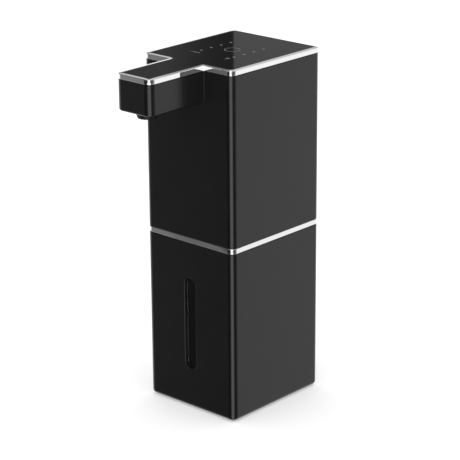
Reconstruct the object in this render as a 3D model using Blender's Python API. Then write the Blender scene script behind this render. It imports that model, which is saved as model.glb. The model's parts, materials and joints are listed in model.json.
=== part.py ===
"""Touchless foam soap dispenser: a square-edged tank below, a lift-off head with a spout above.

Metres, +Z up. The spout points towards -Y. The origin is the centre of the base pad's underside.
"""
import bpy
import bmesh
from math import atan2, cos, pi, radians, sin, tan
from mathutils import Matrix, Vector

# Casing sizes
BODY_WIDTH = 0.0660
BODY_DEPTH = 0.0748
TOTAL_HEIGHT = 0.2058
HEAD_HEIGHT = 0.1011
CORNER_RADIUS = 0.0039
MID_TRIM_HEIGHT = 0.0030
TOP_TRIM_HEIGHT = 0.0031
CASING_WALL = 0.0020
SLEEVE_WALL = 0.0024
SLEEVE_FLOOR = 0.0030
BASE_FILLET = 0.0024
TANK_CORNER_RADIUS = 0.0040
TANK_WALL = 0.0016
TANK_FLOOR = 0.0018
FIT_GAP = 0.0003
MIN_RADIUS = 0.0004
CUT_OVERRUN = 0.0010

# Base pad
PAD_MARGIN = 0.0075
PAD_THICKNESS = 0.0015
PAD_PROUD = 0.0006
PAD_CORNER_RADIUS = 0.0050

# Level window in the front of the tank
SLOT_WIDTH = 0.0083
SLOT_LOW_END = 0.0245
SLOT_TO_RIM = 0.0212
WINDOW_THICKNESS = 0.0006

# Spout arm
ARM_WIDTH = 0.0257
ARM_REACH = 0.0419
ARM_HEIGHT = 0.0208
ARM_CORNER_RADIUS = 0.0042
ARM_FILLET = 0.0012
ARM_FLOOR = 0.0020

# Top trim and touch panel
LIP_WIDTH = 0.0020
PANEL_RECESS = 0.0002
PANEL_THICKNESS = 0.0016
TRIM_SHELF_WIDTH = 0.0042
TRIM_SKIRT_WALL = 0.0012
TRIM_SKIRT_DEPTH = 0.0030
MARK_ROW_X = 0.0123
MARK_SPACING = 0.0082
MARK_COUNT = 4
PANEL_BOSS_RADIUS = 0.0022
PANEL_BOSS_LENGTH = 0.0032
PANEL_BOSS_TO_SIDE = 0.0150
PANEL_BOSS_TO_END = 0.0159
TOUCH_BOARD_MARGIN = 0.0036
BOARD_THICKNESS = 0.0012
LIGHT_POST_RADIUS = 0.0008
LIGHT_RAIL_WIDTH = 0.0014
LIGHT_RAIL_HEIGHT = 0.0012
TOUCH_SPRING_RADIUS = 0.0036
TOUCH_SPRING_WIRE = 0.0003
TOUCH_SPRING_TURNS = 2

# Head chassis and its spigot in the tank's mouth
CHASSIS_THICKNESS = 0.0024
SPIGOT_DEPTH = 0.0087
SPIGOT_WALL = 0.0026
SPIGOT_CLEARANCE = 0.0009
SEAL_HEIGHT = 0.0020
SEAL_DEPTH = 0.0011
SEAL_LEVEL = 0.0042
CORNER_BOSS_RADIUS = 0.0035
CORNER_BOSS_HEIGHT = 0.0140
CORNER_BOSS_INSET = 0.0034

# Screws: shaft radius, head radius and head height
CASE_SCREW_RADIUS = 0.0012
CASE_SCREW_HEAD_RADIUS = 0.0023
CASE_SCREW_HEAD_HEIGHT = 0.0012
CASE_SCREW_LENGTH = 0.0115
SMALL_SCREW_RADIUS = 0.0008
SMALL_SCREW_HEAD_RADIUS = 0.0016
SMALL_SCREW_HEAD_HEIGHT = 0.0010
PANEL_SCREW_LENGTH = 0.0030

# Foam pump
PUMP_RADIUS = 0.0135
PUMP_CHAMBER_RADIUS = 0.0102
PUMP_OFFSET = 0.0080
PUMP_SIDE_GAP = 0.0027
HOSE_LANE = 0.0160
DAMPER_HEIGHT = 0.0020
DAMPER_BORE = 0.0070
PUMP_CAP_HEIGHT = 0.0060
VALVE_PLATE_HEIGHT = 0.0020
VALVE_PORT_RADIUS = 0.0009
DIAPHRAGM_FLANGE = 0.0014
DIAPHRAGM_SKIN = 0.0008
CUP_HEIGHT = 0.0029
CUP_RADIUS = 0.0033
CUP_ORBIT = 0.0060
PUMP_HOUSING_HEIGHT = 0.0206
PUMP_HOUSING_ROOF = 0.0020
PUMP_SCREW_ORBIT = 0.01185
PUMP_SCREW_GRIP = 0.0050
PUMP_RING_WALL = 0.0016
PUMP_RING_HEIGHT = 0.0089
BARB_RADIUS = 0.0014
BARB_BORE = 0.0008
INLET_BARB_LENGTH = 0.0070
OUTLET_BARB_LENGTH = 0.0045
OUTLET_BARB_LEVEL = 0.0030
VALVE_COUNT = 3

# Wobble drive
PIN_TILT = radians(7.0)
PIVOT_HEIGHT = 0.0020
PIN_RADIUS = 0.00075
PIN_START = 0.0015
CAM_RADIUS = 0.0056
CAM_GAP_ABOVE_PIVOT = 0.0086
CAM_HEIGHT = 0.0074
PIN_BITE = 0.0020
ROCKER_HEIGHT = 0.0032
ROCKER_THICKNESS = 0.0016
ROCKER_REACH = 0.0090
ROCKER_ARM_WIDTH = 0.0048
ROCKER_WAIST = 0.0034
ROCKER_HUB_RADIUS = 0.0026
ROCKER_HUB_HEIGHT = 0.0040

# Motor
MOTOR_RADIUS = 0.0122
MOTOR_LENGTH = 0.0300
MOTOR_WALL = 0.0008
SHAFT_RADIUS = 0.0010
SHAFT_CLEARANCE = 0.0001
SHAFT_BACK_END = 0.0015
SHAFT_BITE = 0.0045
BEARING_RADIUS = 0.0028
BEARING_LENGTH = 0.0026
MAGNET_THICKNESS = 0.0015
MAGNET_LENGTH = 0.0210
MAGNET_HALF_ANGLE = radians(62)
ARMATURE_RADIUS = 0.0090
ARMATURE_RIM = 0.0016
ARMATURE_NECK = 0.0032
ARMATURE_HUB = 0.0034
ARMATURE_LENGTH = 0.0170
POLE_HALF_ANGLE = radians(48)
POLE_COUNT = 3
pole_arc_shares = (-1, -1 / 2, 0, 1 / 2, 1)
COMMUTATOR_RADIUS = 0.0028
END_CAP_PLUG = 0.0020
END_CAP_FLANGE = 0.0008
TERMINAL_SPREAD = 0.0060

# Suction tube
TUBE_RADIUS = 0.00275
TUBE_BORE = 0.0018
TUBE_TO_FLOOR = 0.0040
STRAINER_RADIUS = 0.0044
STRAINER_HEIGHT = 0.0074
STRAINER_SOCKET = 0.0050
STRAINER_TO_FLOOR = 0.0008
STRAINER_SLOT = 0.0016

# Foam hose and nozzle
HOSE_RADIUS = 0.0030
HOSE_BORE = 0.0018
HOSE_BEND = 0.0095
hose_rise_shares = ((0.9, 0.3), (0.5, 0.6))
NOZZLE_SETBACK = 0.0106
NOZZLE_RADIUS = 0.0061
NOZZLE_DROP = 0.0040
NOZZLE_STEP = 0.0026
NOZZLE_LIP_RADIUS = 0.0052
NOZZLE_BORE = 0.0034
NOZZLE_MOUTH = 0.0042
NOZZLE_FLANGE_RADIUS = 0.0073
NOZZLE_FLANGE = 0.0012
FOAMER_RADIUS = 0.0068
FOAMER_HEIGHT = 0.0104
FOAMER_WALL = 0.0018
SCREEN_THICKNESS = 0.0004

# Hand sensor in the spout's underside
SENSOR_SETBACK = 0.0290
SENSOR_WIDTH = 0.0100
SENSOR_DEPTH = 0.0052
SENSOR_FLANGE = 0.0014
SENSOR_FLANGE_HEIGHT = 0.0010
SENSOR_LED_RADIUS = 0.0015
SENSOR_LED_HEIGHT = 0.0022
SENSOR_LED_SPREAD = 0.0027
SENSOR_BOARD_CLEARANCE = 0.0008
SENSOR_BOARD_DEPTH = 0.0100
SENSOR_POST_RADIUS = 0.0014
SENSOR_POST_GAP = 0.0004

# Battery: its cradle fills the width that the pump leaves
CELL_LENGTH = 0.0650
CRADLE_WALL = 0.0013
CRADLE_FLOOR = 0.0016
CRADLE_FOOT = 0.0004
CRADLE_HEIGHT = 0.0420
CRADLE_HALF_ANGLE = radians(130)
CRADLE_TO_WALL = 0.0012
BATTERY_SETBACK = 0.0021

# Main board and charging socket
BOARD_TO_WALL = 0.0100
MAIN_BOARD_HEIGHT = 0.0600
MAIN_BOARD_THICKNESS = 0.0016
BOARD_BACK_SPACE = 0.0060
RAIL_WIDTH = 0.0050
RAIL_DEPTH = 0.0060
RAIL_HEIGHT = 0.0100
RAIL_OVERLAP = 0.0025
CHIP_SIZE = 0.0070
CHIP_HEIGHT = 0.0016
CHIP_LEVEL = 0.0300
CONNECTOR_WIDTH = 0.0220
CONNECTOR_HEIGHT = 0.0050
CONNECTOR_DEPTH = 0.0036
CONNECTOR_DROP = 0.0050
CONNECTOR_PIN_SPACING = 0.0050
SOCKET_WIDTH = 0.0090
SOCKET_HEIGHT = 0.0032
SOCKET_DEPTH = 0.0045
SOCKET_WALL = 0.0004
SOCKET_LEVEL = 0.0140
SOCKET_TONGUE_HEIGHT = 0.0008
SOCKET_TONGUE_WIDTH = 0.0064

# Charging port and its flap in the back wall
PORT_CLEARANCE = 0.0007
PORT_BLOCK_MARGIN = 0.0030
PORT_BLOCK_DEPTH = 0.0024
FLAP_WIDTH = 0.0160
FLAP_HEIGHT = 0.0100
FLAP_THICKNESS = 0.0011
FLAP_RADIUS = 0.0016
PLUG_DEPTH = 0.0012
PLUG_INSET = 0.0006

# Leads
LEAD_RADIUS = 0.0005
LEAD_BEND = 0.0040

# How finely round shapes are cut
CORNER_STEPS = 6
FILLET_STEPS = 4
ROUND_SIDES = 24
INNER_SIDES = 16
SMALL_SIDES = 8
LEAD_SIDES = 5
HOSE_SIDES = 8
PATH_STEPS = 2
SMOOTH_ANGLE = radians(32)

# Levels: the head hangs from the total height, and the lower casing fills what is left below it
half_width = BODY_WIDTH / 2
half_depth = BODY_DEPTH / 2
head_low = TOTAL_HEIGHT - HEAD_HEIGHT
mid_trim_top = head_low - FIT_GAP
mid_trim_low = mid_trim_top - MID_TRIM_HEIGHT
sleeve_top = mid_trim_low - FIT_GAP
sleeve_low = PAD_PROUD
slot_high_end = sleeve_top - SLOT_TO_RIM
slot_length = slot_high_end - SLOT_LOW_END
top_trim_low = TOTAL_HEIGHT - TOP_TRIM_HEIGHT
housing_top = top_trim_low - FIT_GAP
arm_low = TOTAL_HEIGHT - ARM_HEIGHT
arm_floor_top = arm_low + ARM_FLOOR
arm_front = -(half_depth + ARM_REACH)
arm_half = ARM_WIDTH / 2
panel_top = TOTAL_HEIGHT - PANEL_RECESS
panel_low = panel_top - PANEL_THICKNESS
trim_shelf_top = panel_low - FIT_GAP
tank_floor_low = sleeve_low + SLEEVE_FLOOR + FIT_GAP
tank_floor_top = tank_floor_low + TANK_FLOOR
chassis_top = head_low + CHASSIS_THICKNESS
spigot_low = head_low - SPIGOT_DEPTH

# Plan sizes of the casing's nested outlines: half width, half depth and corner radius
casing_size = (half_width, half_depth, CORNER_RADIUS)
housing_inner_x = half_width - CASING_WALL
housing_inner_y = half_depth - CASING_WALL
sleeve_inner_size = (
    half_width - SLEEVE_WALL,
    half_depth - SLEEVE_WALL,
    TANK_CORNER_RADIUS + FIT_GAP,
)

# Pump, battery and board places
pump_x = -PUMP_OFFSET
pump_y = -housing_inner_y + HOSE_LANE + PUMP_RADIUS
cradle_left = pump_x + PUMP_RADIUS + PUMP_SIDE_GAP
cradle_right = housing_inner_x - CRADLE_TO_WALL
cradle_radius = (cradle_right - cradle_left) / 2
cell_radius = cradle_radius - CRADLE_WALL - FIT_GAP
battery_x = (cradle_left + cradle_right) / 2
battery_y = BATTERY_SETBACK
main_board_half = housing_inner_x - BOARD_TO_WALL
damper_low = chassis_top + FIT_GAP
pump_cap_low = damper_low + DAMPER_HEIGHT + FIT_GAP
pump_cap_top = pump_cap_low + PUMP_CAP_HEIGHT
valve_plate_low = pump_cap_top + FIT_GAP
valve_plate_top = valve_plate_low + VALVE_PLATE_HEIGHT
diaphragm_low = valve_plate_top + FIT_GAP
diaphragm_top = diaphragm_low + DIAPHRAGM_FLANGE
pump_housing_low = diaphragm_top + FIT_GAP
pump_housing_top = pump_housing_low + PUMP_HOUSING_HEIGHT
pivot_level = pump_housing_low + PIVOT_HEIGHT
cam_low = pivot_level + CAM_GAP_ABOVE_PIVOT
cam_top = cam_low + CAM_HEIGHT
motor_low = pump_housing_top + FIT_GAP
motor_top = motor_low + MOTOR_LENGTH
end_cap_top = motor_top + FIT_GAP + END_CAP_FLANGE
end_cap_low = motor_top + FIT_GAP - END_CAP_PLUG
outlet_level = pump_cap_low + OUTLET_BARB_LEVEL
cell_low = chassis_top + FIT_GAP + CRADLE_FLOOR + FIT_GAP
cell_top = cell_low + CELL_LENGTH
board_back = housing_inner_y - BOARD_BACK_SPACE
board_front = board_back - MAIN_BOARD_THICKNESS
board_low = chassis_top + FIT_GAP
board_top = board_low + MAIN_BOARD_HEIGHT
socket_back = board_back + FIT_GAP
socket_mouth = socket_back + SOCKET_DEPTH
socket_level = board_low + SOCKET_LEVEL
touch_board_top = panel_low - PANEL_BOSS_LENGTH - FIT_GAP
touch_board_low = touch_board_top - BOARD_THICKNESS

# Nozzle and sensor places
nozzle_y = arm_front + NOZZLE_SETBACK
nozzle_flange_low = arm_floor_top + FIT_GAP
foamer_low = nozzle_flange_low + NOZZLE_FLANGE + FIT_GAP
foamer_top = foamer_low + FOAMER_HEIGHT
foam_inlet_level = foamer_top - HOSE_RADIUS - FIT_GAP
sensor_y = arm_front + SENSOR_SETBACK
sensor_flange_top = arm_floor_top + FIT_GAP + SENSOR_FLANGE_HEIGHT
sensor_led_low = sensor_flange_top + FIT_GAP
sensor_board_low = sensor_led_low + SENSOR_LED_HEIGHT + FIT_GAP
sensor_board_top = sensor_board_low + BOARD_THICKNESS


def clear_scene():
    for thing in list(bpy.data.objects):
        bpy.data.objects.remove(thing, do_unlink=True)


def make_material(name, colour, roughness, metallic=0.0, alpha=1.0):
    material = bpy.data.materials.new(name)
    material.use_nodes = True
    shader = material.node_tree.nodes["Principled BSDF"]
    shader.inputs["Base Color"].default_value = (*colour, 1.0)
    shader.inputs["Roughness"].default_value = roughness
    shader.inputs["Metallic"].default_value = metallic
    shader.inputs["Alpha"].default_value = alpha
    return material


def rounded_outline(corners, steps=CORNER_STEPS):
    """Points anticlockwise round a polygon whose corners are (x, y, radius); radius 0 stays sharp."""
    points = []
    count = len(corners)
    for index, (x, y, radius) in enumerate(corners):
        here = Vector((x, y))
        if radius == 0:
            points.append(here)
            continue
        back = (Vector(corners[index - 1][:2]) - here).normalized()
        ahead = (Vector(corners[(index + 1) % count][:2]) - here).normalized()
        half = back.angle(ahead) / 2
        centre = here + (back + ahead).normalized() * (radius / sin(half))
        start = here + back * (radius / tan(half)) - centre
        end = here + ahead * (radius / tan(half)) - centre
        sweep = atan2(start.cross(end), start.dot(end))
        for step in range(steps + 1):
            points.append(centre + Matrix.Rotation(sweep * step / steps, 2) @ start)
    return points


def rectangle(half_x, half_y, radius=0.0, centre=(0.0, 0.0)):
    x, y = centre
    return rounded_outline([
        (x + half_x, y - half_y, radius),
        (x + half_x, y + half_y, radius),
        (x - half_x, y + half_y, radius),
        (x - half_x, y - half_y, radius),
    ])


def shrunk(size, inset):
    half_x, half_y, radius = size
    return (half_x - inset, half_y - inset, max(radius - inset, MIN_RADIUS))


def head_outline(inset):
    """The head's T shape from above, drawn in by an inset."""
    body_x = half_width - inset
    body_y = half_depth - inset
    arm_x = arm_half - inset
    front = arm_front + inset
    body_radius = max(CORNER_RADIUS - inset, MIN_RADIUS)
    arm_radius = max(ARM_CORNER_RADIUS - inset, MIN_RADIUS)
    return rounded_outline([
        (body_x, -body_y, body_radius),
        (body_x, body_y, body_radius),
        (-body_x, body_y, body_radius),
        (-body_x, -body_y, body_radius),
        (-arm_x, -body_y, 0.0),
        (-arm_x, front, arm_radius),
        (arm_x, front, arm_radius),
        (arm_x, -body_y, 0.0),
    ])


def circle(radius, sides=INNER_SIDES, centre=(0.0, 0.0)):
    middle = Vector(centre)
    angles = [2 * pi * side / sides for side in range(sides)]
    return [middle + Vector((cos(angle), sin(angle))) * radius for angle in angles]


def stadium(half_x, half_y, centre=(0.0, 0.0), sides=ROUND_SIDES):
    """A slot's outline, long along its larger half size."""
    radius = min(half_x, half_y)
    offset = Vector((half_x - radius, half_y - radius))
    first = 0.0 if half_y > half_x else -pi / 2
    points = []
    for turn, shift in ((0, offset), (1, -offset)):
        for step in range(sides // 2 + 1):
            angle = first + pi * turn + pi * step / (sides // 2)
            points.append(Vector(centre) + shift + Vector((cos(angle), sin(angle))) * radius)
    return points


def level(outline, height, plane="XY"):
    if plane == "XZ":
        return [Vector((point.x, height, point.y)) for point in outline]
    return [Vector((point.x, point.y, height)) for point in outline]


def add_object(name, shape):
    mesh = bpy.data.meshes.new(name)
    shape.to_mesh(mesh)
    shape.free()
    thing = bpy.data.objects.new(name, mesh)
    bpy.context.scene.collection.objects.link(thing)
    return thing


def skin(name, loops, ring=False):
    """Closed mesh through loops of equal count; a ring joins its last loop to its first."""
    shape = bmesh.new()
    rows = [[shape.verts.new(point) for point in loop] for loop in loops]
    pairs = list(zip(rows, rows[1:]))
    if ring:
        pairs.append((rows[-1], rows[0]))
    else:
        shape.faces.new(rows[0])
        shape.faces.new(rows[-1])
    for row, following in pairs:
        for index in range(len(row)):
            after = (index + 1) % len(row)
            shape.faces.new((row[index], row[after], following[after], following[index]))
    bmesh.ops.recalc_face_normals(shape, faces=shape.faces[:])
    return add_object(name, shape)


def prism(name, outline, low, high, plane="XY"):
    return skin(name, [level(outline, low, plane), level(outline, high, plane)])


def turned(name, profile, centre=(0.0, 0.0), ring=False, sides=INNER_SIDES):
    """A turned piece on a vertical axis, from (radius, height) points."""
    return skin(name, [level(circle(radius, sides, centre), z) for radius, z in profile], ring)


def box(name, low, high):
    outline = [
        Vector((low[0], low[1])),
        Vector((high[0], low[1])),
        Vector((high[0], high[1])),
        Vector((low[0], high[1])),
    ]
    return prism(name, outline, low[2], high[2])


def rod(name, start, end, radius, sides=SMALL_SIDES):
    start = Vector(start)
    along = Vector(end) - start
    turn = Vector((0, 0, 1)).rotation_difference(along).to_matrix()
    ring = level(circle(radius, sides), 0.0)
    return skin(name, [[start + turn @ p for p in ring], [start + along + turn @ p for p in ring]])


def smooth_path(points, steps=PATH_STEPS):
    """Points read from a smooth curve through the given ones."""
    knots = [Vector(point) for point in points]
    knots = [2 * knots[0] - knots[1], *knots, 2 * knots[-1] - knots[-2]]
    path = []
    for a, b, c, d in zip(knots, knots[1:], knots[2:], knots[3:]):
        for step in range(steps):
            t = step / steps
            bend = 2 * a - 5 * b + 4 * c - d
            twist = 3 * b - a - 3 * c + d
            path.append((2 * b + (c - a) * t + bend * t * t + twist * t ** 3) / 2)
    path.append(knots[-2])
    return path


def sweep_loops(path, section):
    """Copies of a flat section set square along a path, without twist."""
    loops = []
    along = (path[1] - path[0]).normalized()
    side = along.orthogonal().normalized()
    if abs(along.x) < abs(along.y) or abs(along.x) < abs(along.z):
        side = (Vector((1, 0, 0)) - along * along.x).normalized()
    for index, point in enumerate(path):
        before = path[max(index - 1, 0)]
        after = path[min(index + 1, len(path) - 1)]
        along = (after - before).normalized()
        side = (side - along * side.dot(along)).normalized()
        other = along.cross(side)
        loops.append([point + side * p.x + other * p.y for p in section])
    return loops


def sweep(name, path, section):
    return skin(name, sweep_loops(path, section))


def apply_boolean(target, tool, operation):
    modifier = target.modifiers.new(operation.lower(), "BOOLEAN")
    modifier.operation = operation
    modifier.solver = "EXACT"
    modifier.object = tool
    graph = bpy.context.evaluated_depsgraph_get()
    result = bpy.data.meshes.new_from_object(target.evaluated_get(graph))
    target.modifiers.clear()
    target.data = result
    bpy.data.objects.remove(tool, do_unlink=True)


def cut(target, *tools):
    for tool in tools:
        apply_boolean(target, tool, "DIFFERENCE")


def add(target, *tools):
    for tool in tools:
        apply_boolean(target, tool, "UNION")


def group(name, pieces):
    """One object that holds several separate solids."""
    shape = bmesh.new()
    for piece in pieces:
        shape.from_mesh(piece.data)
        bpy.data.objects.remove(piece, do_unlink=True)
    return add_object(name, shape)


def holes(places, radius, low, high, sides=SMALL_SIDES):
    drills = [prism("drill", circle(radius, sides, place), low, high) for place in places]
    return group("drills", drills)


def orbit(count, radius, centre, first=0.0):
    """Places spread evenly on a circle."""
    middle = Vector(centre)
    angles = [first + 2 * pi * index / count for index in range(count)]
    return [middle + Vector((cos(angle), sin(angle))) * radius for angle in angles]


case_screw_sizes = (CASE_SCREW_RADIUS, CASE_SCREW_HEAD_RADIUS, CASE_SCREW_HEAD_HEIGHT)
small_screw_sizes = (SMALL_SCREW_RADIUS, SMALL_SCREW_HEAD_RADIUS, SMALL_SCREW_HEAD_HEIGHT)
pump_axis = (pump_x, pump_y)
battery_axis = (battery_x, battery_y)
nozzle_axis = (0.0, nozzle_y)
pump_screw_places = orbit(VALVE_COUNT, PUMP_SCREW_ORBIT, pump_axis, pi / VALVE_COUNT)
cup_places = orbit(VALVE_COUNT, CUP_ORBIT, pump_axis)
corner_boss_places = [
    (side * (housing_inner_x - CORNER_BOSS_INSET), end * (housing_inner_y - CORNER_BOSS_INSET))
    for side in (-1, 1)
    for end in (-1, 1)
]
panel_boss_x = half_width - PANEL_BOSS_TO_SIDE
panel_boss_y = half_depth - PANEL_BOSS_TO_END
panel_boss_places = [(side * panel_boss_x, side * panel_boss_y) for side in (-1, 1)]
mark_places = [
    (side * MARK_ROW_X, (index - (MARK_COUNT - 1) / 2) * MARK_SPACING)
    for side in (-1, 1)
    for index in range(MARK_COUNT)
]
pad_size = (half_width - PAD_MARGIN, half_depth - PAD_MARGIN, PAD_CORNER_RADIUS)
tank_size = shrunk(sleeve_inner_size, FIT_GAP)
tank_inner_size = shrunk(tank_size, TANK_WALL)
spigot_size = shrunk(tank_inner_size, SPIGOT_CLEARANCE)
slot_centre = (0.0, (SLOT_LOW_END + slot_high_end) / 2)
flap_back = half_depth - FLAP_THICKNESS
flap_hinge = (FLAP_WIDTH / 2, half_depth, socket_level)


def fillet_loops(outline_at, low, radius):
    """Loops up a rounded bottom edge; outline_at gives the outline for an inset."""
    loops = []
    for step in range(FILLET_STEPS + 1):
        angle = pi / 2 * step / FILLET_STEPS
        inset = radius * (1 - sin(angle))
        loops.append(level(outline_at(inset), low + radius * (1 - cos(angle))))
    return loops


def make_tank_sleeve():
    recess = shrunk(pad_size, -FIT_GAP)
    recess_top = PAD_THICKNESS + FIT_GAP
    loops = [level(rectangle(*recess), recess_top), level(rectangle(*recess), sleeve_low)]
    loops += fillet_loops(lambda inset: rectangle(*shrunk(casing_size, inset)), sleeve_low, BASE_FILLET)
    loops.append(level(rectangle(*casing_size), sleeve_top))
    loops.append(level(rectangle(*sleeve_inner_size), sleeve_top))
    loops.append(level(rectangle(*sleeve_inner_size), sleeve_low + SLEEVE_FLOOR))
    sleeve = skin("tank_sleeve", loops)
    slot = stadium(SLOT_WIDTH / 2, slot_length / 2, slot_centre)
    back = -half_depth + SLEEVE_WALL + CUT_OVERRUN
    cut(sleeve, prism("slot", slot, -half_depth - CUT_OVERRUN, back, "XZ"))
    return sleeve


def make_soap_tank():
    outer = rectangle(*tank_size)
    inner = rectangle(*tank_inner_size)
    return skin("soap_tank", [
        level(outer, tank_floor_low),
        level(outer, sleeve_top),
        level(inner, sleeve_top),
        level(inner, tank_floor_top),
    ])


def make_level_window():
    outline = stadium(SLOT_WIDTH / 2 - FIT_GAP, slot_length / 2 - FIT_GAP, slot_centre)
    back = -half_depth + SLEEVE_WALL
    return prism("level_window", outline, back - WINDOW_THICKNESS, back, "XZ")


def make_base_pad():
    return prism("base_pad", rectangle(*pad_size), 0.0, PAD_THICKNESS)


def make_mid_trim():
    outer = rectangle(*casing_size)
    inner = rectangle(*tank_inner_size)
    return skin("mid_trim", [
        level(outer, mid_trim_low),
        level(outer, mid_trim_top),
        level(inner, mid_trim_top),
        level(inner, mid_trim_low),
    ], ring=True)


def arm_outline(inset, back):
    radius = max(ARM_CORNER_RADIUS - inset, MIN_RADIUS)
    side = arm_half - inset
    front = arm_front + inset
    return rounded_outline([
        (side, back, 0.0),
        (-side, back, 0.0),
        (-side, front, radius),
        (side, front, radius),
    ])


def make_upper_housing():
    back = -housing_inner_y + BASE_FILLET + CASING_WALL
    housing = prism("upper_housing", rectangle(*casing_size), head_low, housing_top)
    loops = fillet_loops(lambda inset: arm_outline(inset, back), arm_low, ARM_FILLET)
    loops.append(level(arm_outline(0.0, back), housing_top))
    add(housing, skin("arm", loops))
    hollow = rectangle(*shrunk(casing_size, CASING_WALL))
    above = housing_top + CUT_OVERRUN
    cut(
        housing,
        prism("hollow", hollow, head_low - CUT_OVERRUN, above),
        prism("arm_hollow", arm_outline(CASING_WALL, back), arm_floor_top, above),
    )
    add_housing_bosses(housing)
    add_sensor_posts(housing)
    cut_spout_holes(housing)
    cut_charging_port(housing)
    return housing


def add_housing_bosses(housing):
    boss_low = chassis_top + FIT_GAP
    boss_top = boss_low + CORNER_BOSS_HEIGHT
    for place in corner_boss_places:
        add(housing, prism("boss", circle(CORNER_BOSS_RADIUS, INNER_SIDES, place), boss_low, boss_top))
    cut(housing, holes(
        corner_boss_places,
        CASE_SCREW_RADIUS + FIT_GAP,
        boss_low - CUT_OVERRUN,
        boss_low + CASE_SCREW_LENGTH,
    ))


def add_sensor_posts(housing):
    reach = SENSOR_WIDTH / 2 + SENSOR_FLANGE + SENSOR_POST_GAP + SENSOR_POST_RADIUS
    for side in (-1, 1):
        outline = circle(SENSOR_POST_RADIUS, SMALL_SIDES, (side * reach, sensor_y))
        post_low = arm_floor_top - ARM_FLOOR / 2
        add(housing, prism("post", outline, post_low, sensor_board_low - FIT_GAP))


def cut_spout_holes(housing):
    low = arm_low - CUT_OVERRUN
    high = arm_floor_top + CUT_OVERRUN
    sensor = stadium(SENSOR_WIDTH / 2 + FIT_GAP, SENSOR_DEPTH / 2 + FIT_GAP, (0.0, sensor_y))
    cut(
        housing,
        prism("nozzle_hole", circle(NOZZLE_RADIUS + FIT_GAP, ROUND_SIDES, nozzle_axis), low, high),
        prism("sensor_hole", sensor, low, high),
    )


def cut_charging_port(housing):
    block_x = FLAP_WIDTH / 2 + PORT_BLOCK_MARGIN
    block_z = FLAP_HEIGHT / 2 + PORT_BLOCK_MARGIN
    block_front = housing_inner_y - PORT_BLOCK_DEPTH
    add(housing, box(
        "port_block",
        (-block_x, block_front, socket_level - block_z),
        (block_x, housing_inner_y + CASING_WALL / 2, socket_level + block_z),
    ))
    centre = (0.0, socket_level)
    recess = rectangle(FLAP_WIDTH / 2 + FIT_GAP, FLAP_HEIGHT / 2 + FIT_GAP, FLAP_RADIUS, centre)
    port_x = SOCKET_WIDTH / 2 + PORT_CLEARANCE
    port_z = SOCKET_HEIGHT / 2 + PORT_CLEARANCE
    cut(
        housing,
        prism("flap_recess", recess, flap_back - FIT_GAP, half_depth + CUT_OVERRUN, "XZ"),
        prism("port", stadium(port_x, port_z, centre), block_front - CUT_OVERRUN, half_depth, "XZ"),
    )


def make_charge_flap():
    centre = (0.0, socket_level)
    outline = rectangle(FLAP_WIDTH / 2, FLAP_HEIGHT / 2, FLAP_RADIUS, centre)
    flap = prism("charge_flap", outline, flap_back, half_depth, "XZ")
    plug = stadium(SOCKET_WIDTH / 2 - PLUG_INSET, SOCKET_HEIGHT / 2 - PLUG_INSET, centre)
    add(flap, prism("plug", plug, flap_back - PLUG_DEPTH, flap_back + FLAP_THICKNESS / 2, "XZ"))
    return flap


def make_top_trim():
    skirt_outer = CASING_WALL + FIT_GAP
    skirt_inner = skirt_outer + TRIM_SKIRT_WALL
    skirt_low = top_trim_low - TRIM_SKIRT_DEPTH
    profile = [
        (0.0, top_trim_low),
        (0.0, TOTAL_HEIGHT),
        (LIP_WIDTH, TOTAL_HEIGHT),
        (LIP_WIDTH, trim_shelf_top),
        (TRIM_SHELF_WIDTH, trim_shelf_top),
        (TRIM_SHELF_WIDTH, top_trim_low),
        (skirt_inner, top_trim_low),
        (skirt_inner, skirt_low),
        (skirt_outer, skirt_low),
        (skirt_outer, top_trim_low),
    ]
    return skin("top_trim", [level(head_outline(inset), z) for inset, z in profile], ring=True)


def make_top_panel():
    outline = head_outline(LIP_WIDTH + FIT_GAP)
    panel = prism("top_panel", outline, panel_low, panel_top)
    boss_low = panel_low - PANEL_BOSS_LENGTH
    for place in panel_boss_places:
        boss = circle(PANEL_BOSS_RADIUS, SMALL_SIDES, place)
        add(panel, prism("boss", boss, boss_low, panel_low + PANEL_THICKNESS / 2))
    radius = SMALL_SCREW_RADIUS + FIT_GAP
    cut(panel, holes(panel_boss_places, radius, boss_low - CUT_OVERRUN, panel_low))
    return panel


def make_touch_board():
    half_x = panel_boss_x + TOUCH_BOARD_MARGIN
    half_y = panel_boss_y + TOUCH_BOARD_MARGIN
    board = prism("touch_board", rectangle(half_x, half_y), touch_board_low, touch_board_top)
    low = touch_board_low - CUT_OVERRUN
    high = touch_board_top + CUT_OVERRUN
    cut(board, holes(panel_boss_places, SMALL_SCREW_RADIUS + FIT_GAP, low, high))
    return board


def make_screws(name, places, head_low, length, sizes):
    """Screws put in from below, one at each place."""
    shaft, head, head_height = sizes
    shoulder = head_low + head_height
    profile = [(head, head_low), (head, shoulder), (shaft, shoulder), (shaft, shoulder + length)]
    return [
        turned(f"{name}_{index + 1}", profile, place, sides=SMALL_SIDES)
        for index, place in enumerate(places)
    ]


def make_panel_screws():
    head_low = touch_board_low - FIT_GAP - SMALL_SCREW_HEAD_HEIGHT
    return make_screws("panel_screw", panel_boss_places, head_low, PANEL_SCREW_LENGTH, small_screw_sizes)


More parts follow.
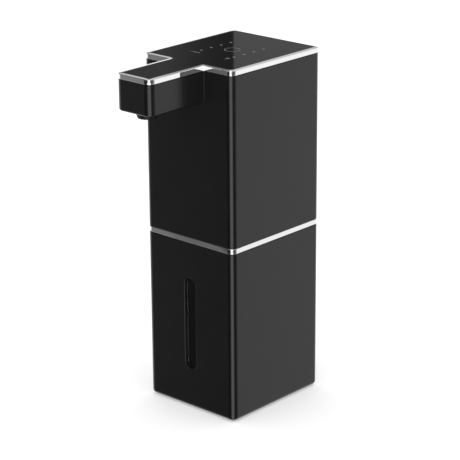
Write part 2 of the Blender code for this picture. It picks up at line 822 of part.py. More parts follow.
def make_light_guide():
    """Clear frame whose posts carry the lamps' light up to the panel's two rows of marks."""
    low = touch_board_top + FIT_GAP
    rail_top = low + LIGHT_RAIL_HEIGHT
    post_top = panel_low - FIT_GAP
    half_rail = LIGHT_RAIL_WIDTH / 2
    row_end = (MARK_COUNT - 1) / 2 * MARK_SPACING
    guide = box(
        "light_guide",
        (-MARK_ROW_X, MARK_SPACING - half_rail, low),
        (MARK_ROW_X, MARK_SPACING + half_rail, rail_top),
    )
    for side in (-1, 1):
        x = side * MARK_ROW_X
        add(guide, box("rail", (x - half_rail, -row_end, low), (x + half_rail, row_end, rail_top)))
    middle = (low + rail_top) / 2
    for place in mark_places:
        add(guide, prism("post", circle(LIGHT_POST_RADIUS, SMALL_SIDES, place), middle, post_top))
    return guide


def make_touch_spring():
    low = touch_board_top + FIT_GAP + TOUCH_SPRING_WIRE
    high = panel_low - FIT_GAP - TOUCH_SPRING_WIRE
    count = TOUCH_SPRING_TURNS * SMALL_SIDES
    path = []
    for step in range(count + 1):
        angle = 2 * pi * step / SMALL_SIDES
        height = low + (high - low) * step / count
        path.append(Vector((
            TOUCH_SPRING_RADIUS * cos(angle), TOUCH_SPRING_RADIUS * sin(angle), height,
        )))
    return sweep("touch_spring", path, circle(TOUCH_SPRING_WIRE, LEAD_SIDES))


def make_head_chassis():
    plate = rectangle(*shrunk(casing_size, CASING_WALL + FIT_GAP))
    spigot = rectangle(*spigot_size)
    groove = rectangle(*shrunk(spigot_size, SEAL_DEPTH - seal_proud + FIT_GAP))
    bore = rectangle(*shrunk(spigot_size, SPIGOT_WALL))
    chassis = skin("head_chassis", [
        level(plate, chassis_top),
        level(plate, head_low),
        level(spigot, head_low),
        level(spigot, seal_top + FIT_GAP),
        level(groove, seal_top + FIT_GAP),
        level(groove, seal_low - FIT_GAP),
        level(spigot, seal_low - FIT_GAP),
        level(spigot, spigot_low),
        level(bore, spigot_low),
        level(bore, head_low),
    ])
    add_pump_seat(chassis)
    add_board_rails(chassis)
    cut_chassis_holes(chassis)
    return chassis


def add_pump_seat(chassis):
    inner = PUMP_RADIUS + FIT_GAP
    outer = inner + PUMP_RING_WALL
    ring_low = head_low + CHASSIS_THICKNESS / 2
    ring_top = chassis_top + PUMP_RING_HEIGHT
    profile = [(inner, ring_low), (outer, ring_low), (outer, ring_top), (inner, ring_top)]
    ring = turned("ring", profile, pump_axis, ring=True)
    notch = HOSE_RADIUS + 2 * FIT_GAP
    cut(ring, box(
        "notch",
        (pump_x - notch, pump_y - outer - CUT_OVERRUN, outlet_level - notch),
        (pump_x + notch, pump_y - PUMP_RADIUS / 2, ring_top + CUT_OVERRUN),
    ))
    add(chassis, ring)


def add_board_rails(chassis):
    inner_x = main_board_half - RAIL_OVERLAP
    middle = (board_front + board_back) / 2
    low = head_low + CHASSIS_THICKNESS / 2
    for side in (-1, 1):
        near, far = sorted((side * inner_x, side * (inner_x + RAIL_WIDTH)))
        add(chassis, box(
            "rail",
            (near, middle - RAIL_DEPTH / 2, low),
            (far, middle + RAIL_DEPTH / 2, chassis_top + RAIL_HEIGHT),
        ))
    board_x = main_board_half + FIT_GAP
    cut(chassis, box(
        "board_slot",
        (-board_x, board_front - FIT_GAP, chassis_top),
        (board_x, board_back + FIT_GAP, chassis_top + RAIL_HEIGHT + CUT_OVERRUN),
    ))


def cut_chassis_holes(chassis):
    low = head_low - CUT_OVERRUN
    high = chassis_top + CUT_OVERRUN
    recess_top = head_low + CASE_SCREW_HEAD_HEIGHT + 2 * FIT_GAP
    cut(
        chassis,
        holes([pump_axis], TUBE_RADIUS + FIT_GAP, low, high, INNER_SIDES),
        holes(corner_boss_places, CASE_SCREW_RADIUS + FIT_GAP, low, high),
        holes(corner_boss_places, CASE_SCREW_HEAD_RADIUS + FIT_GAP, low, recess_top),
    )


def make_chassis_screws():
    low = head_low + FIT_GAP
    return make_screws("chassis_screw", corner_boss_places, low, CASE_SCREW_LENGTH, case_screw_sizes)


seal_proud = SPIGOT_CLEARANCE - FIT_GAP
seal_top = head_low - SEAL_LEVEL
seal_low = seal_top - SEAL_HEIGHT


def make_tank_seal():
    outer = rectangle(*shrunk(spigot_size, -seal_proud))
    inner = rectangle(*shrunk(spigot_size, SEAL_DEPTH - seal_proud))
    return skin("tank_seal", [
        level(outer, seal_low),
        level(outer, seal_top),
        level(inner, seal_top),
        level(inner, seal_low),
    ], ring=True)


def make_pump_damper():
    top = damper_low + DAMPER_HEIGHT
    profile = [
        (DAMPER_BORE, damper_low),
        (PUMP_RADIUS, damper_low),
        (PUMP_RADIUS, top),
        (DAMPER_BORE, top),
    ]
    return turned("pump_damper", profile, pump_axis, ring=True)


def make_pump_cap():
    cap = prism("pump_cap", circle(PUMP_RADIUS, INNER_SIDES, pump_axis), pump_cap_low, pump_cap_top)
    inlet_low = pump_cap_low - INLET_BARB_LENGTH
    outlet_tip = pump_y - PUMP_RADIUS - OUTLET_BARB_LENGTH
    outlet_start = pump_y - PUMP_RADIUS / 2
    middle = pump_cap_low + PUMP_CAP_HEIGHT / 2
    inlet = circle(BARB_RADIUS, SMALL_SIDES, pump_axis)
    root = (pump_x, outlet_start, outlet_level)
    add(
        cap,
        prism("inlet", inlet, inlet_low, middle),
        rod("outlet", root, (pump_x, outlet_tip, outlet_level), BARB_RADIUS),
    )
    low = pump_cap_low - CUT_OVERRUN
    high = pump_cap_top + CUT_OVERRUN
    recess_top = pump_cap_low + SMALL_SCREW_HEAD_HEIGHT + 2 * FIT_GAP
    cut(
        cap,
        holes([pump_axis], BARB_BORE, inlet_low - CUT_OVERRUN, middle),
        rod("bore", root, (pump_x, outlet_tip - CUT_OVERRUN, outlet_level), BARB_BORE),
        holes(pump_screw_places, SMALL_SCREW_RADIUS + FIT_GAP, low, high),
        holes(pump_screw_places, SMALL_SCREW_HEAD_RADIUS + FIT_GAP, low, recess_top),
    )
    return cap


def make_pump_valve_plate():
    outline = circle(PUMP_RADIUS, INNER_SIDES, pump_axis)
    plate = prism("pump_valve_plate", outline, valve_plate_low, valve_plate_top)
    low = valve_plate_low - CUT_OVERRUN
    high = valve_plate_top + CUT_OVERRUN
    cut(
        plate,
        holes(pump_screw_places, SMALL_SCREW_RADIUS + FIT_GAP, low, high),
        holes(cup_places, VALVE_PORT_RADIUS, low, high),
    )
    return plate


def make_pump_diaphragm():
    outline = circle(PUMP_RADIUS, INNER_SIDES, pump_axis)
    diaphragm = prism("pump_diaphragm", outline, diaphragm_low, diaphragm_top)
    cup_top = diaphragm_top + CUP_HEIGHT
    middle = (diaphragm_low + diaphragm_top) / 2
    for place in cup_places:
        add(diaphragm, prism("cup", circle(CUP_RADIUS, SMALL_SIDES, place), middle, cup_top))
    low = diaphragm_low - CUT_OVERRUN
    cut(
        diaphragm,
        holes(cup_places, CUP_RADIUS - DIAPHRAGM_SKIN, low, cup_top - DIAPHRAGM_SKIN),
        holes(pump_screw_places, SMALL_SCREW_RADIUS + FIT_GAP, low, diaphragm_top + CUT_OVERRUN),
    )
    return diaphragm


def make_pump_housing():
    roof_low = pump_housing_top - PUMP_HOUSING_ROOF
    neck = SHAFT_RADIUS + 2 * FIT_GAP
    profile = [
        (PUMP_CHAMBER_RADIUS, pump_housing_low),
        (PUMP_RADIUS, pump_housing_low),
        (PUMP_RADIUS, pump_housing_top),
        (neck, pump_housing_top),
        (neck, roof_low),
        (PUMP_CHAMBER_RADIUS, roof_low),
    ]
    housing = turned("pump_housing", profile, pump_axis, ring=True)
    low = pump_housing_low - CUT_OVERRUN
    high = pump_housing_low + PUMP_SCREW_GRIP + FIT_GAP
    cut(housing, holes(pump_screw_places, SMALL_SCREW_RADIUS + FIT_GAP, low, high))
    return housing


def make_pump_screws():
    low = pump_cap_low + FIT_GAP
    length = pump_housing_low + PUMP_SCREW_GRIP - low - SMALL_SCREW_HEAD_HEIGHT
    return make_screws("pump_screw", pump_screw_places, low, length, small_screw_sizes)


def pin_point(height):
    """A point on the tilted pin's axis, at a height above its pivot."""
    return Vector((pump_x + height * tan(PIN_TILT), pump_y, pivot_level + height))


def make_cam_pin():
    pin_top = CAM_GAP_ABOVE_PIVOT + PIN_BITE - FIT_GAP
    return rod("cam_pin", pin_point(PIN_START), pin_point(pin_top), PIN_RADIUS)


def make_pump_cam():
    cam = prism("pump_cam", circle(CAM_RADIUS, INNER_SIDES, pump_axis), cam_low, cam_top)
    pin_hole = rod(
        "pin_hole",
        pin_point(CAM_GAP_ABOVE_PIVOT - CUT_OVERRUN),
        pin_point(CAM_GAP_ABOVE_PIVOT + PIN_BITE),
        PIN_RADIUS + FIT_GAP,
    )
    shaft_hole = prism(
        "shaft_hole",
        circle(SHAFT_RADIUS + FIT_GAP, INNER_SIDES, pump_axis),
        cam_top - SHAFT_BITE - FIT_GAP,
        cam_top + CUT_OVERRUN,
    )
    cut(cam, pin_hole, shaft_hole)
    return cam


def make_pump_rocker():
    corners = []
    arm = ROCKER_ARM_WIDTH / 2
    for index in range(VALVE_COUNT):
        turn = Matrix.Rotation(2 * pi * index / VALVE_COUNT, 2)
        for corner in ((ROCKER_REACH, -arm), (ROCKER_REACH, arm)):
            corners.append((*(turn @ Vector(corner)), ROCKER_THICKNESS))
        notch = Matrix.Rotation(pi / VALVE_COUNT, 2) @ turn @ Vector((ROCKER_WAIST, 0.0))
        corners.append((*notch, 0.0))
    arm_low = ROCKER_HEIGHT
    hub_low = ROCKER_HEIGHT - ROCKER_THICKNESS / 2
    hub_top = hub_low + ROCKER_HUB_HEIGHT
    outline = rounded_outline(corners, FILLET_STEPS)
    rocker = prism("pump_rocker", outline, arm_low, arm_low + ROCKER_THICKNESS)
    add(rocker, prism("hub", circle(ROCKER_HUB_RADIUS, SMALL_SIDES), hub_low, hub_top))
    drill = circle(PIN_RADIUS + FIT_GAP, SMALL_SIDES)
    cut(rocker, prism("drill", drill, hub_low - CUT_OVERRUN, hub_top + CUT_OVERRUN))
    pivot = Matrix.Translation(pin_point(0.0))
    rocker.data.transform(pivot @ Matrix.Rotation(PIN_TILT, 4, "Y"))
    return rocker


def make_motor_can():
    hole = BEARING_RADIUS + FIT_GAP
    inner = MOTOR_RADIUS - MOTOR_WALL
    profile = [
        (hole, motor_low),
        (MOTOR_RADIUS, motor_low),
        (MOTOR_RADIUS, motor_top),
        (inner, motor_top),
        (inner, motor_low + MOTOR_WALL),
        (hole, motor_low + MOTOR_WALL),
    ]
    return turned("motor_can", profile, pump_axis, ring=True)


def make_motor_bearings():
    bore = SHAFT_RADIUS + SHAFT_CLEARANCE
    bushes = []
    for name, low in (
        ("motor_bearing_front", motor_low),
        ("motor_bearing_rear", end_cap_top - BEARING_LENGTH),
    ):
        top = low + BEARING_LENGTH
        profile = [(bore, low), (BEARING_RADIUS, low), (BEARING_RADIUS, top), (bore, top)]
        bushes.append(turned(name, profile, pump_axis, ring=True))
    return bushes


def make_motor_end_cap():
    hole = BEARING_RADIUS + FIT_GAP
    plug = MOTOR_RADIUS - MOTOR_WALL - FIT_GAP
    flange_low = motor_top + FIT_GAP
    profile = [
        (hole, end_cap_low),
        (plug, end_cap_low),
        (plug, flange_low),
        (MOTOR_RADIUS, flange_low),
        (MOTOR_RADIUS, end_cap_top),
        (hole, end_cap_top),
    ]
    return turned("motor_end_cap", profile, pump_axis, ring=True)


def make_motor_magnets():
    outer = MOTOR_RADIUS - MOTOR_WALL - FIT_GAP
    inner = outer - MAGNET_THICKNESS
    middle = (motor_low + motor_top) / 2
    low = middle - MAGNET_LENGTH / 2
    magnets = []
    for index in range(2):
        outline = arc_strip(inner, outer, MAGNET_HALF_ANGLE, pump_axis, pi * (index + 1 / 2))
        magnets.append(prism(f"motor_magnet_{index + 1}", outline, low, low + MAGNET_LENGTH))
    return magnets


def arc_strip(inner, outer, half_angle, centre, centre_angle=0.0, steps=SMALL_SIDES):
    """A curved strip's outline between two radii."""
    middle = Vector(centre)
    angles = [centre_angle + half_angle * (2 * step / steps - 1) for step in range(steps + 1)]
    rays = [Vector((cos(angle), sin(angle))) for angle in angles]
    return [middle + ray * outer for ray in rays] + [middle + ray * inner for ray in reversed(rays)]


def make_motor_armature():
    """Three wound poles on a hub, with the commutator at the hub's upper end."""
    rim = ARMATURE_RADIUS - ARMATURE_RIM
    neck_at_rim = (ARMATURE_NECK / 2) / rim
    neck_at_hub = (ARMATURE_NECK / 2) / ARMATURE_HUB
    pole = [(ARMATURE_HUB, -neck_at_hub), (rim, -neck_at_rim), (rim, -POLE_HALF_ANGLE)]
    pole += [(ARMATURE_RADIUS, POLE_HALF_ANGLE * share) for share in pole_arc_shares]
    pole += [(rim, POLE_HALF_ANGLE), (rim, neck_at_rim), (ARMATURE_HUB, neck_at_hub)]
    outline = []
    for index in range(POLE_COUNT):
        turn = 2 * pi * index / POLE_COUNT
        for radius, angle in pole:
            ray = Vector((cos(angle + turn), sin(angle + turn)))
            outline.append(Vector(pump_axis) + ray * radius)
    middle = (motor_low + motor_top) / 2
    low = middle - ARMATURE_LENGTH / 2
    high = end_cap_low - FIT_GAP
    armature = prism("motor_armature", outline, low, low + ARMATURE_LENGTH)
    add(armature, prism("commutator", circle(COMMUTATOR_RADIUS, SMALL_SIDES, pump_axis), middle, high))
    cut(armature, holes([pump_axis], SHAFT_RADIUS + FIT_GAP, low - CUT_OVERRUN, high + CUT_OVERRUN))
    return armature


def make_motor_shaft():
    low = cam_top - SHAFT_BITE
    outline = circle(SHAFT_RADIUS, INNER_SIDES, pump_axis)
    return prism("motor_shaft", outline, low, end_cap_top + SHAFT_BACK_END)


def make_dip_tube():
    low = tank_floor_top + TUBE_TO_FLOOR
    top = pump_cap_low - FIT_GAP
    profile = [(TUBE_BORE, low), (TUBE_RADIUS, low), (TUBE_RADIUS, top), (TUBE_BORE, top)]
    return turned("dip_tube", profile, pump_axis, ring=True, sides=SMALL_SIDES)


def make_tube_strainer():
    low = tank_floor_top + STRAINER_TO_FLOOR
    top = low + STRAINER_HEIGHT
    socket_low = top - STRAINER_SOCKET
    socket = TUBE_RADIUS + FIT_GAP
    profile = [
        (TUBE_BORE, low),
        (STRAINER_RADIUS, low),
        (STRAINER_RADIUS, top),
        (socket, top),
        (socket, socket_low),
        (TUBE_BORE, socket_low),
    ]
    strainer = turned("tube_strainer", profile, pump_axis, ring=True)
    slot_top = low + STRAINER_SLOT
    reach = STRAINER_RADIUS + CUT_OVERRUN
    half_slot = STRAINER_SLOT / 2
    cut(
        strainer,
        box("slot", (pump_x - reach, pump_y - half_slot, low - CUT_OVERRUN),
            (pump_x + reach, pump_y + half_slot, slot_top)),
        box("slot", (pump_x - half_slot, pump_y - reach, low - CUT_OVERRUN),
            (pump_x + half_slot, pump_y + reach, slot_top)),
    )
    return strainer


def make_foam_hose():
    """From the pump's side barb, up the front of the head and along the arm to the foamer."""
    start_y = pump_y - PUMP_RADIUS - FIT_GAP
    riser_y = start_y - HOSE_BEND
    end_y = nozzle_y + FOAMER_RADIUS + FIT_GAP
    rise = foam_inlet_level - outlet_level
    drift = [
        (pump_x * side_share, riser_y, outlet_level + rise * rise_share)
        for side_share, rise_share in hose_rise_shares
    ]
    path = smooth_path([
        (pump_x, start_y, outlet_level),
        (pump_x, start_y - HOSE_BEND / 3, outlet_level),
        (pump_x, riser_y + HOSE_BEND / 4, outlet_level + HOSE_BEND / 4),
        (pump_x, riser_y, outlet_level + HOSE_BEND),
        *drift,
        (0.0, riser_y, foam_inlet_level - HOSE_BEND),
        (0.0, riser_y - HOSE_BEND / 4, foam_inlet_level - HOSE_BEND / 4),
        (0.0, riser_y - HOSE_BEND, foam_inlet_level),
        (0.0, (riser_y - HOSE_BEND + end_y) / 2, foam_inlet_level),
        (0.0, end_y + HOSE_BEND / 3, foam_inlet_level),
        (0.0, end_y, foam_inlet_level),
    ])
    outer = sweep_loops(path, circle(HOSE_RADIUS, HOSE_SIDES))
    inner = sweep_loops(path, circle(HOSE_BORE, HOSE_SIDES))
    return skin("foam_hose", outer + inner[::-1], ring=True)


def make_nozzle_tip():
    flange_top = nozzle_flange_low + NOZZLE_FLANGE
    tip_low = arm_low - NOZZLE_DROP
    step_level = tip_low + NOZZLE_STEP
    profile = [
        (NOZZLE_BORE, flange_top),
        (NOZZLE_FLANGE_RADIUS, flange_top),
        (NOZZLE_FLANGE_RADIUS, nozzle_flange_low),
        (NOZZLE_RADIUS, nozzle_flange_low),
        (NOZZLE_RADIUS, step_level),
        (NOZZLE_LIP_RADIUS, tip_low),
        (NOZZLE_MOUTH, tip_low),
        (NOZZLE_BORE, step_level),
    ]
    return turned("nozzle_tip", profile, nozzle_axis, ring=True, sides=ROUND_SIDES)


def make_nozzle_body():
    chamber = FOAMER_RADIUS - FOAMER_WALL
    body = turned("nozzle_body", [
        (FOAMER_RADIUS, foamer_top),
        (FOAMER_RADIUS, foamer_low),
        (chamber, foamer_low),
        (chamber, foamer_top - FOAMER_WALL),
    ], nozzle_axis)
    tip = nozzle_y + FOAMER_RADIUS + OUTLET_BARB_LENGTH
    root = nozzle_y + FOAMER_RADIUS - FOAMER_WALL / 2
    z = foam_inlet_level
    add(body, rod("barb", (0.0, root, z), (0.0, tip, z), BARB_RADIUS))
    cut(body, rod("bore", (0.0, nozzle_y, z), (0.0, tip + CUT_OVERRUN, z), BARB_BORE))
    return body


def make_foam_screen():
    low = foamer_low + FIT_GAP
    outline = circle(FOAMER_RADIUS - FOAMER_WALL - FIT_GAP, INNER_SIDES, nozzle_axis)
    return prism("foam_screen", outline, low, low + SCREEN_THICKNESS)


def make_sensor_window():
    centre = (0.0, sensor_y)
    plug = stadium(SENSOR_WIDTH / 2, SENSOR_DEPTH / 2, centre)
    flange = stadium(SENSOR_WIDTH / 2 + SENSOR_FLANGE, SENSOR_DEPTH / 2 + SENSOR_FLANGE, centre)
    flange_low = sensor_flange_top - SENSOR_FLANGE_HEIGHT
    return skin("sensor_window", [
        level(plug, arm_low),
        level(plug, flange_low),
        level(flange, flange_low),
        level(flange, sensor_flange_top),
    ])


def make_sensor_led(name, side):
    centre = (side * SENSOR_LED_SPREAD, sensor_y)
    outline = circle(SENSOR_LED_RADIUS, SMALL_SIDES, centre)
    return prism(name, outline, sensor_led_low, sensor_led_low + SENSOR_LED_HEIGHT)


def make_sensor_board():
    half_x = arm_half - CASING_WALL - SENSOR_BOARD_CLEARANCE
    outline = rectangle(half_x, SENSOR_BOARD_DEPTH / 2, 0.0, (0.0, sensor_y))
    return prism("sensor_board", outline, sensor_board_low, sensor_board_top)


def make_battery_cell():
    outline = circle(cell_radius, INNER_SIDES, battery_axis)
    return prism("battery_cell", outline, cell_low, cell_top)


def make_battery_cradle():
    low = chassis_top + FIT_GAP
    inner = cell_radius + FIT_GAP
    foot = circle(cradle_radius + CRADLE_FOOT, INNER_SIDES, battery_axis)
    cradle = prism("battery_cradle", foot, low, low + CRADLE_FLOOR)
    strip = arc_strip(inner, cradle_radius, CRADLE_HALF_ANGLE, battery_axis, steps=INNER_SIDES)
    add(cradle, prism("trough", strip, low + CRADLE_FLOOR / 2, low + CRADLE_HEIGHT))
    return cradle


def make_main_board():
    half_x = main_board_half
    return box("main_board", (-half_x, board_front, board_low), (half_x, board_back, board_top))


def make_control_chip():
    front = board_front - FIT_GAP
    half = CHIP_SIZE / 2
    middle = board_low + CHIP_LEVEL
    return box("control_chip", (-half, front - CHIP_HEIGHT, middle - half), (half, front, middle + half))


connector_top = board_top - CONNECTOR_DROP


def make_board_connector():
    front = board_front - FIT_GAP
    half_x = CONNECTOR_WIDTH / 2
    low = (-half_x, front - CONNECTOR_DEPTH, connector_top - CONNECTOR_HEIGHT)
    return box("board_connector", low, (half_x, front, connector_top))


def make_usb_socket():
    centre = (0.0, socket_level)
    half_x = SOCKET_WIDTH / 2
    half_z = SOCKET_HEIGHT / 2
    wall = SOCKET_WALL
    socket = prism("usb_socket", stadium(half_x, half_z, centre), socket_back, socket_mouth, "XZ")
    hollow = stadium(half_x - wall, half_z - wall, centre)
    cut(socket, prism("hollow", hollow, socket_back + wall, socket_mouth + CUT_OVERRUN, "XZ"))
    tongue_x = SOCKET_TONGUE_WIDTH / 2
    tongue_z = SOCKET_TONGUE_HEIGHT / 2
    add(socket, box(
        "tongue",
        (-tongue_x, socket_back + wall / 2, socket_level - tongue_z),
        (tongue_x, socket_mouth - wall, socket_level + tongue_z),
    ))
    return socket


def make_leads():
    """Two motor leads and two battery leads, each arching over to its pin of the board's connector."""
    motor_z = end_cap_top + FIT_GAP
    cell_side = battery_x - cell_radius - FIT_GAP - LEAD_RADIUS
    ends = [
        ("motor_lead_1", (pump_x - TERMINAL_SPREAD, pump_y, motor_z)),
        ("motor_lead_2", (pump_x + TERMINAL_SPREAD, pump_y, motor_z)),
        ("battery_lead_1", (cell_side, battery_y, cell_low)),
        ("battery_lead_2", (battery_x, battery_y, cell_top + FIT_GAP)),
    ]
    plug_y = board_front - FIT_GAP - CONNECTOR_DEPTH / 2
    over = max(motor_z, cell_top, connector_top) + LEAD_BEND
    leads = []
    for index, (name, end) in enumerate(ends):
        x = (index - (len(ends) - 1) / 2) * CONNECTOR_PIN_SPACING
        start = Vector(end)
        stop = Vector((x, plug_y, connector_top + FIT_GAP))
        path = smooth_path([
            start,
            (start.x, start.y, over - LEAD_BEND / 2),
            (start.x, start.y + LEAD_BEND / 4, over),
            ((start.x + x) / 2, (start.y + plug_y) / 2, over + LEAD_BEND / 4),
            (x, plug_y - LEAD_BEND / 4, over),
            (x, plug_y, over - LEAD_BEND / 2),
            stop,
        ])
        leads.append(sweep(name, path, circle(LEAD_RADIUS, LEAD_SIDES)))
    return leads


def main():
    clear_scene()
    materials = make_materials()
    parts = {}
    for maker, material in makers:
        made = maker()
        for part in made if isinstance(made, list) else [made]:
            part.data.materials.clear()
            part.data.materials.append(materials[material])
            part.data.shade_smooth()
            part.data.set_sharp_from_angle(angle=SMOOTH_ANGLE)
            parts[part.name] = part
    place_on_axes(parts)


def make_materials():
    return {
        "gloss_black": make_material("gloss_black", (0.010, 0.010, 0.011), 0.30),
        "panel_black": make_material("panel_black", (0.008, 0.008, 0.009), 0.05),
        "chrome": make_material("chrome", (0.90, 0.90, 0.91), 0.05, 1.0),
        "clear_plastic": make_material("clear_plastic", (0.75, 0.80, 0.82), 0.12, alpha=0.35),
        "smoked_window": make_material("smoked_window", (0.10, 0.10, 0.105), 0.10, alpha=0.6),
        "smoked_lens": make_material("smoked_lens", (0.03, 0.01, 0.02), 0.08, alpha=0.6),
        "silicone": make_material("silicone", (0.05, 0.05, 0.05), 0.60),
        "white_silicone": make_material("white_silicone", (0.75, 0.75, 0.72), 0.45, alpha=0.7),
        "black_abs": make_material("black_abs", (0.02, 0.02, 0.02), 0.50),
        "white_pom": make_material("white_pom", (0.80, 0.80, 0.78), 0.40),
        "steel": make_material("steel", (0.55, 0.56, 0.58), 0.30, 1.0),
        "ferrite": make_material("ferrite", (0.08, 0.08, 0.08), 0.70),
        "brass": make_material("brass", (0.70, 0.52, 0.25), 0.35, 1.0),
        "board_green": make_material("board_green", (0.03, 0.18, 0.08), 0.45),
        "chip_black": make_material("chip_black", (0.03, 0.03, 0.03), 0.55),
        "connector_white": make_material("connector_white", (0.80, 0.79, 0.72), 0.50),
        "cell_wrap": make_material("cell_wrap", (0.08, 0.20, 0.45), 0.35),
        "lead_red": make_material("lead_red", (0.45, 0.03, 0.02), 0.45),
    }


makers = [
    (make_tank_sleeve, "gloss_black"),
    (make_soap_tank, "clear_plastic"),
    (make_level_window, "smoked_window"),
    (make_base_pad, "silicone"),
    (make_mid_trim, "chrome"),
    (make_upper_housing, "gloss_black"),
    (make_top_trim, "chrome"),
    (make_top_panel, "panel_black"),
    (make_touch_board, "board_green"),
    (make_panel_screws, "steel"),
    (make_light_guide, "clear_plastic"),
    (make_touch_spring, "steel"),
    (make_head_chassis, "black_abs"),
    (make_chassis_screws, "steel"),
    (make_tank_seal, "silicone"),
    (make_pump_damper, "silicone"),
    (make_pump_cap, "white_pom"),
    (make_pump_valve_plate, "white_pom"),
    (make_pump_diaphragm, "white_silicone"),
    (make_pump_housing, "black_abs"),
    (make_pump_screws, "steel"),
    (make_motor_can, "steel"),
    (make_motor_bearings, "brass"),
    (make_motor_end_cap, "black_abs"),
    (make_motor_magnets, "ferrite"),
    (make_motor_armature, "steel"),
    (make_motor_shaft, "steel"),
    (make_pump_cam, "white_pom"),
    (make_cam_pin, "steel"),
    (make_pump_rocker, "white_pom"),
    (make_dip_tube, "white_silicone"),
    (make_tube_strainer, "white_pom"),
    (make_foam_hose, "white_silicone"),
    (make_nozzle_body, "white_pom"),
    (make_foam_screen, "white_pom"),
    (make_nozzle_tip, "black_abs"),
    (make_sensor_window, "smoked_lens"),
    (lambda: make_sensor_led("ir_emitter", -1), "smoked_lens"),
    (lambda: make_sensor_led("ir_receiver", 1), "chip_black"),
    (make_sensor_board, "board_green"),
    (make_battery_cell, "cell_wrap"),
    (make_battery_cradle, "black_abs"),
    (make_main_board, "board_green"),
    (make_control_chip, "chip_black"),
    (make_board_connector, "connector_white"),
    (make_usb_socket, "steel"),
    (make_leads, "lead_red"),
    (make_charge_flap, "silicone"),
]


def carry(axis_name, place, children, tilt=0.0, holder=None):
    """An empty on a joint's axis, with the pieces that move on it as its children."""
    axis = bpy.data.objects.new(axis_name, None)
    bpy.context.scene.collection.objects.link(axis)
    here = Matrix.Translation(Vector(place)) @ Matrix.Rotation(tilt, 4, "Y")
    if holder:
        axis.parent = holder
    axis.matrix_world = here
    bpy.context.view_layer.update()
    for child in children:
        child.parent = axis
        child.matrix_parent_inverse = axis.matrix_world.inverted()
    return axis


tank_parts = ["tank_sleeve", "soap_tank", "level_window", "base_pad", "mid_trim"]
rotor_parts = ["motor_shaft", "motor_armature", "pump_cam", "cam_pin"]


def place_on_axes(parts):
    moving = [*tank_parts, *rotor_parts, "pump_rocker", "charge_flap"]
    head_parts = [parts[name] for name in parts if name not in moving]
    head = carry("head_lift_axis", (0.0, 0.0, head_low), head_parts)
    rotor = carry("motor_axis", (*pump_axis, cam_low), [parts[name] for name in rotor_parts], 0.0, head)
    carry("wobble_axis", pin_point(0.0), [parts["pump_rocker"]], PIN_TILT, rotor)
    carry("flap_axis", flap_hinge, [parts["charge_flap"]], 0.0, head)


main()
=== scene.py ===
import json
import bpy
import bmesh
from math import atan2, cos, pi, radians, sin, tan
from mathutils import Matrix, Vector


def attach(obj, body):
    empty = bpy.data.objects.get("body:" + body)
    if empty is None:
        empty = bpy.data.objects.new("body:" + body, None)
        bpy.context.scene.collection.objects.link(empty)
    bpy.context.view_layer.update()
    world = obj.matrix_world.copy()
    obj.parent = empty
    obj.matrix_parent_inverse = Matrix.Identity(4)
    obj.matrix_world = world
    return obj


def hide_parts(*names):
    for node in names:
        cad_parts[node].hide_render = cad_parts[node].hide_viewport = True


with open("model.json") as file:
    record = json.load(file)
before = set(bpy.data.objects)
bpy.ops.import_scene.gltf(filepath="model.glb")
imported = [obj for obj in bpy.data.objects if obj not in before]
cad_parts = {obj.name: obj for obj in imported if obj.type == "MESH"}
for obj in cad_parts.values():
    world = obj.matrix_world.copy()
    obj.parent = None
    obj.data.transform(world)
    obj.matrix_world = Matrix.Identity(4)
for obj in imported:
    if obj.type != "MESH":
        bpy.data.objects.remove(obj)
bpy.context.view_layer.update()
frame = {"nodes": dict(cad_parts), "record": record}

# Casings and tank; this group and those down to the charging port have the solids' sizes
BODY_WIDTH = 0.0660
BODY_DEPTH = 0.0748
TOTAL_HEIGHT = 0.2058
HEAD_HEIGHT = 0.1011
CORNER_RADIUS = 0.0039
MIN_RADIUS = 0.0004
BASE_FILLET = 0.0024
CASING_WALL = 0.0020
SLEEVE_WALL = 0.0024
SLEEVE_FLOOR = 0.0030
MID_TRIM_HEIGHT = 0.0030
TANK_CORNER_RADIUS = 0.0040
TANK_WALL = 0.0016
TANK_FLOOR = 0.0018
FIT_GAP = 0.0003
CUT_OVERRUN = 0.0010

# Base pad
PAD_MARGIN = 0.0075
PAD_THICKNESS = 0.0015
PAD_PROUD = 0.0006
PAD_CORNER_RADIUS = 0.0050

# Slot and the strip in it
SLOT_WIDTH = 0.0083
SLOT_LOW_END = 0.0245
SLOT_TO_RIM = 0.0212
WINDOW_THICKNESS = 0.0006

# Spout arm
ARM_WIDTH = 0.0257
ARM_REACH = 0.0419
ARM_HEIGHT = 0.0208
ARM_CORNER_RADIUS = 0.0042
ARM_FILLET = 0.0012
ARM_FLOOR = 0.0020

# Top trim and touch panel
TOP_TRIM_HEIGHT = 0.0031
LIP_WIDTH = 0.0020
TRIM_SHELF_WIDTH = 0.0042
TRIM_SKIRT_WALL = 0.0012
TRIM_SKIRT_DEPTH = 0.0030
PANEL_RECESS = 0.0002
PANEL_THICKNESS = 0.0016
PANEL_BOSS_RADIUS = 0.0022
PANEL_BOSS_LENGTH = 0.0032
PANEL_BOSS_TO_SIDE = 0.0150
PANEL_BOSS_TO_END = 0.0159
SMALL_SCREW_RADIUS = 0.0008

# Chassis, its screw bosses and its seal
CHASSIS_THICKNESS = 0.0024
SPIGOT_CLEARANCE = 0.0009
SEAL_HEIGHT = 0.0020
SEAL_DEPTH = 0.0011
SEAL_LEVEL = 0.0042
CORNER_BOSS_RADIUS = 0.0035
CORNER_BOSS_HEIGHT = 0.0140
CORNER_BOSS_INSET = 0.0034
CASE_SCREW_RADIUS = 0.0012
CASE_SCREW_LENGTH = 0.0115

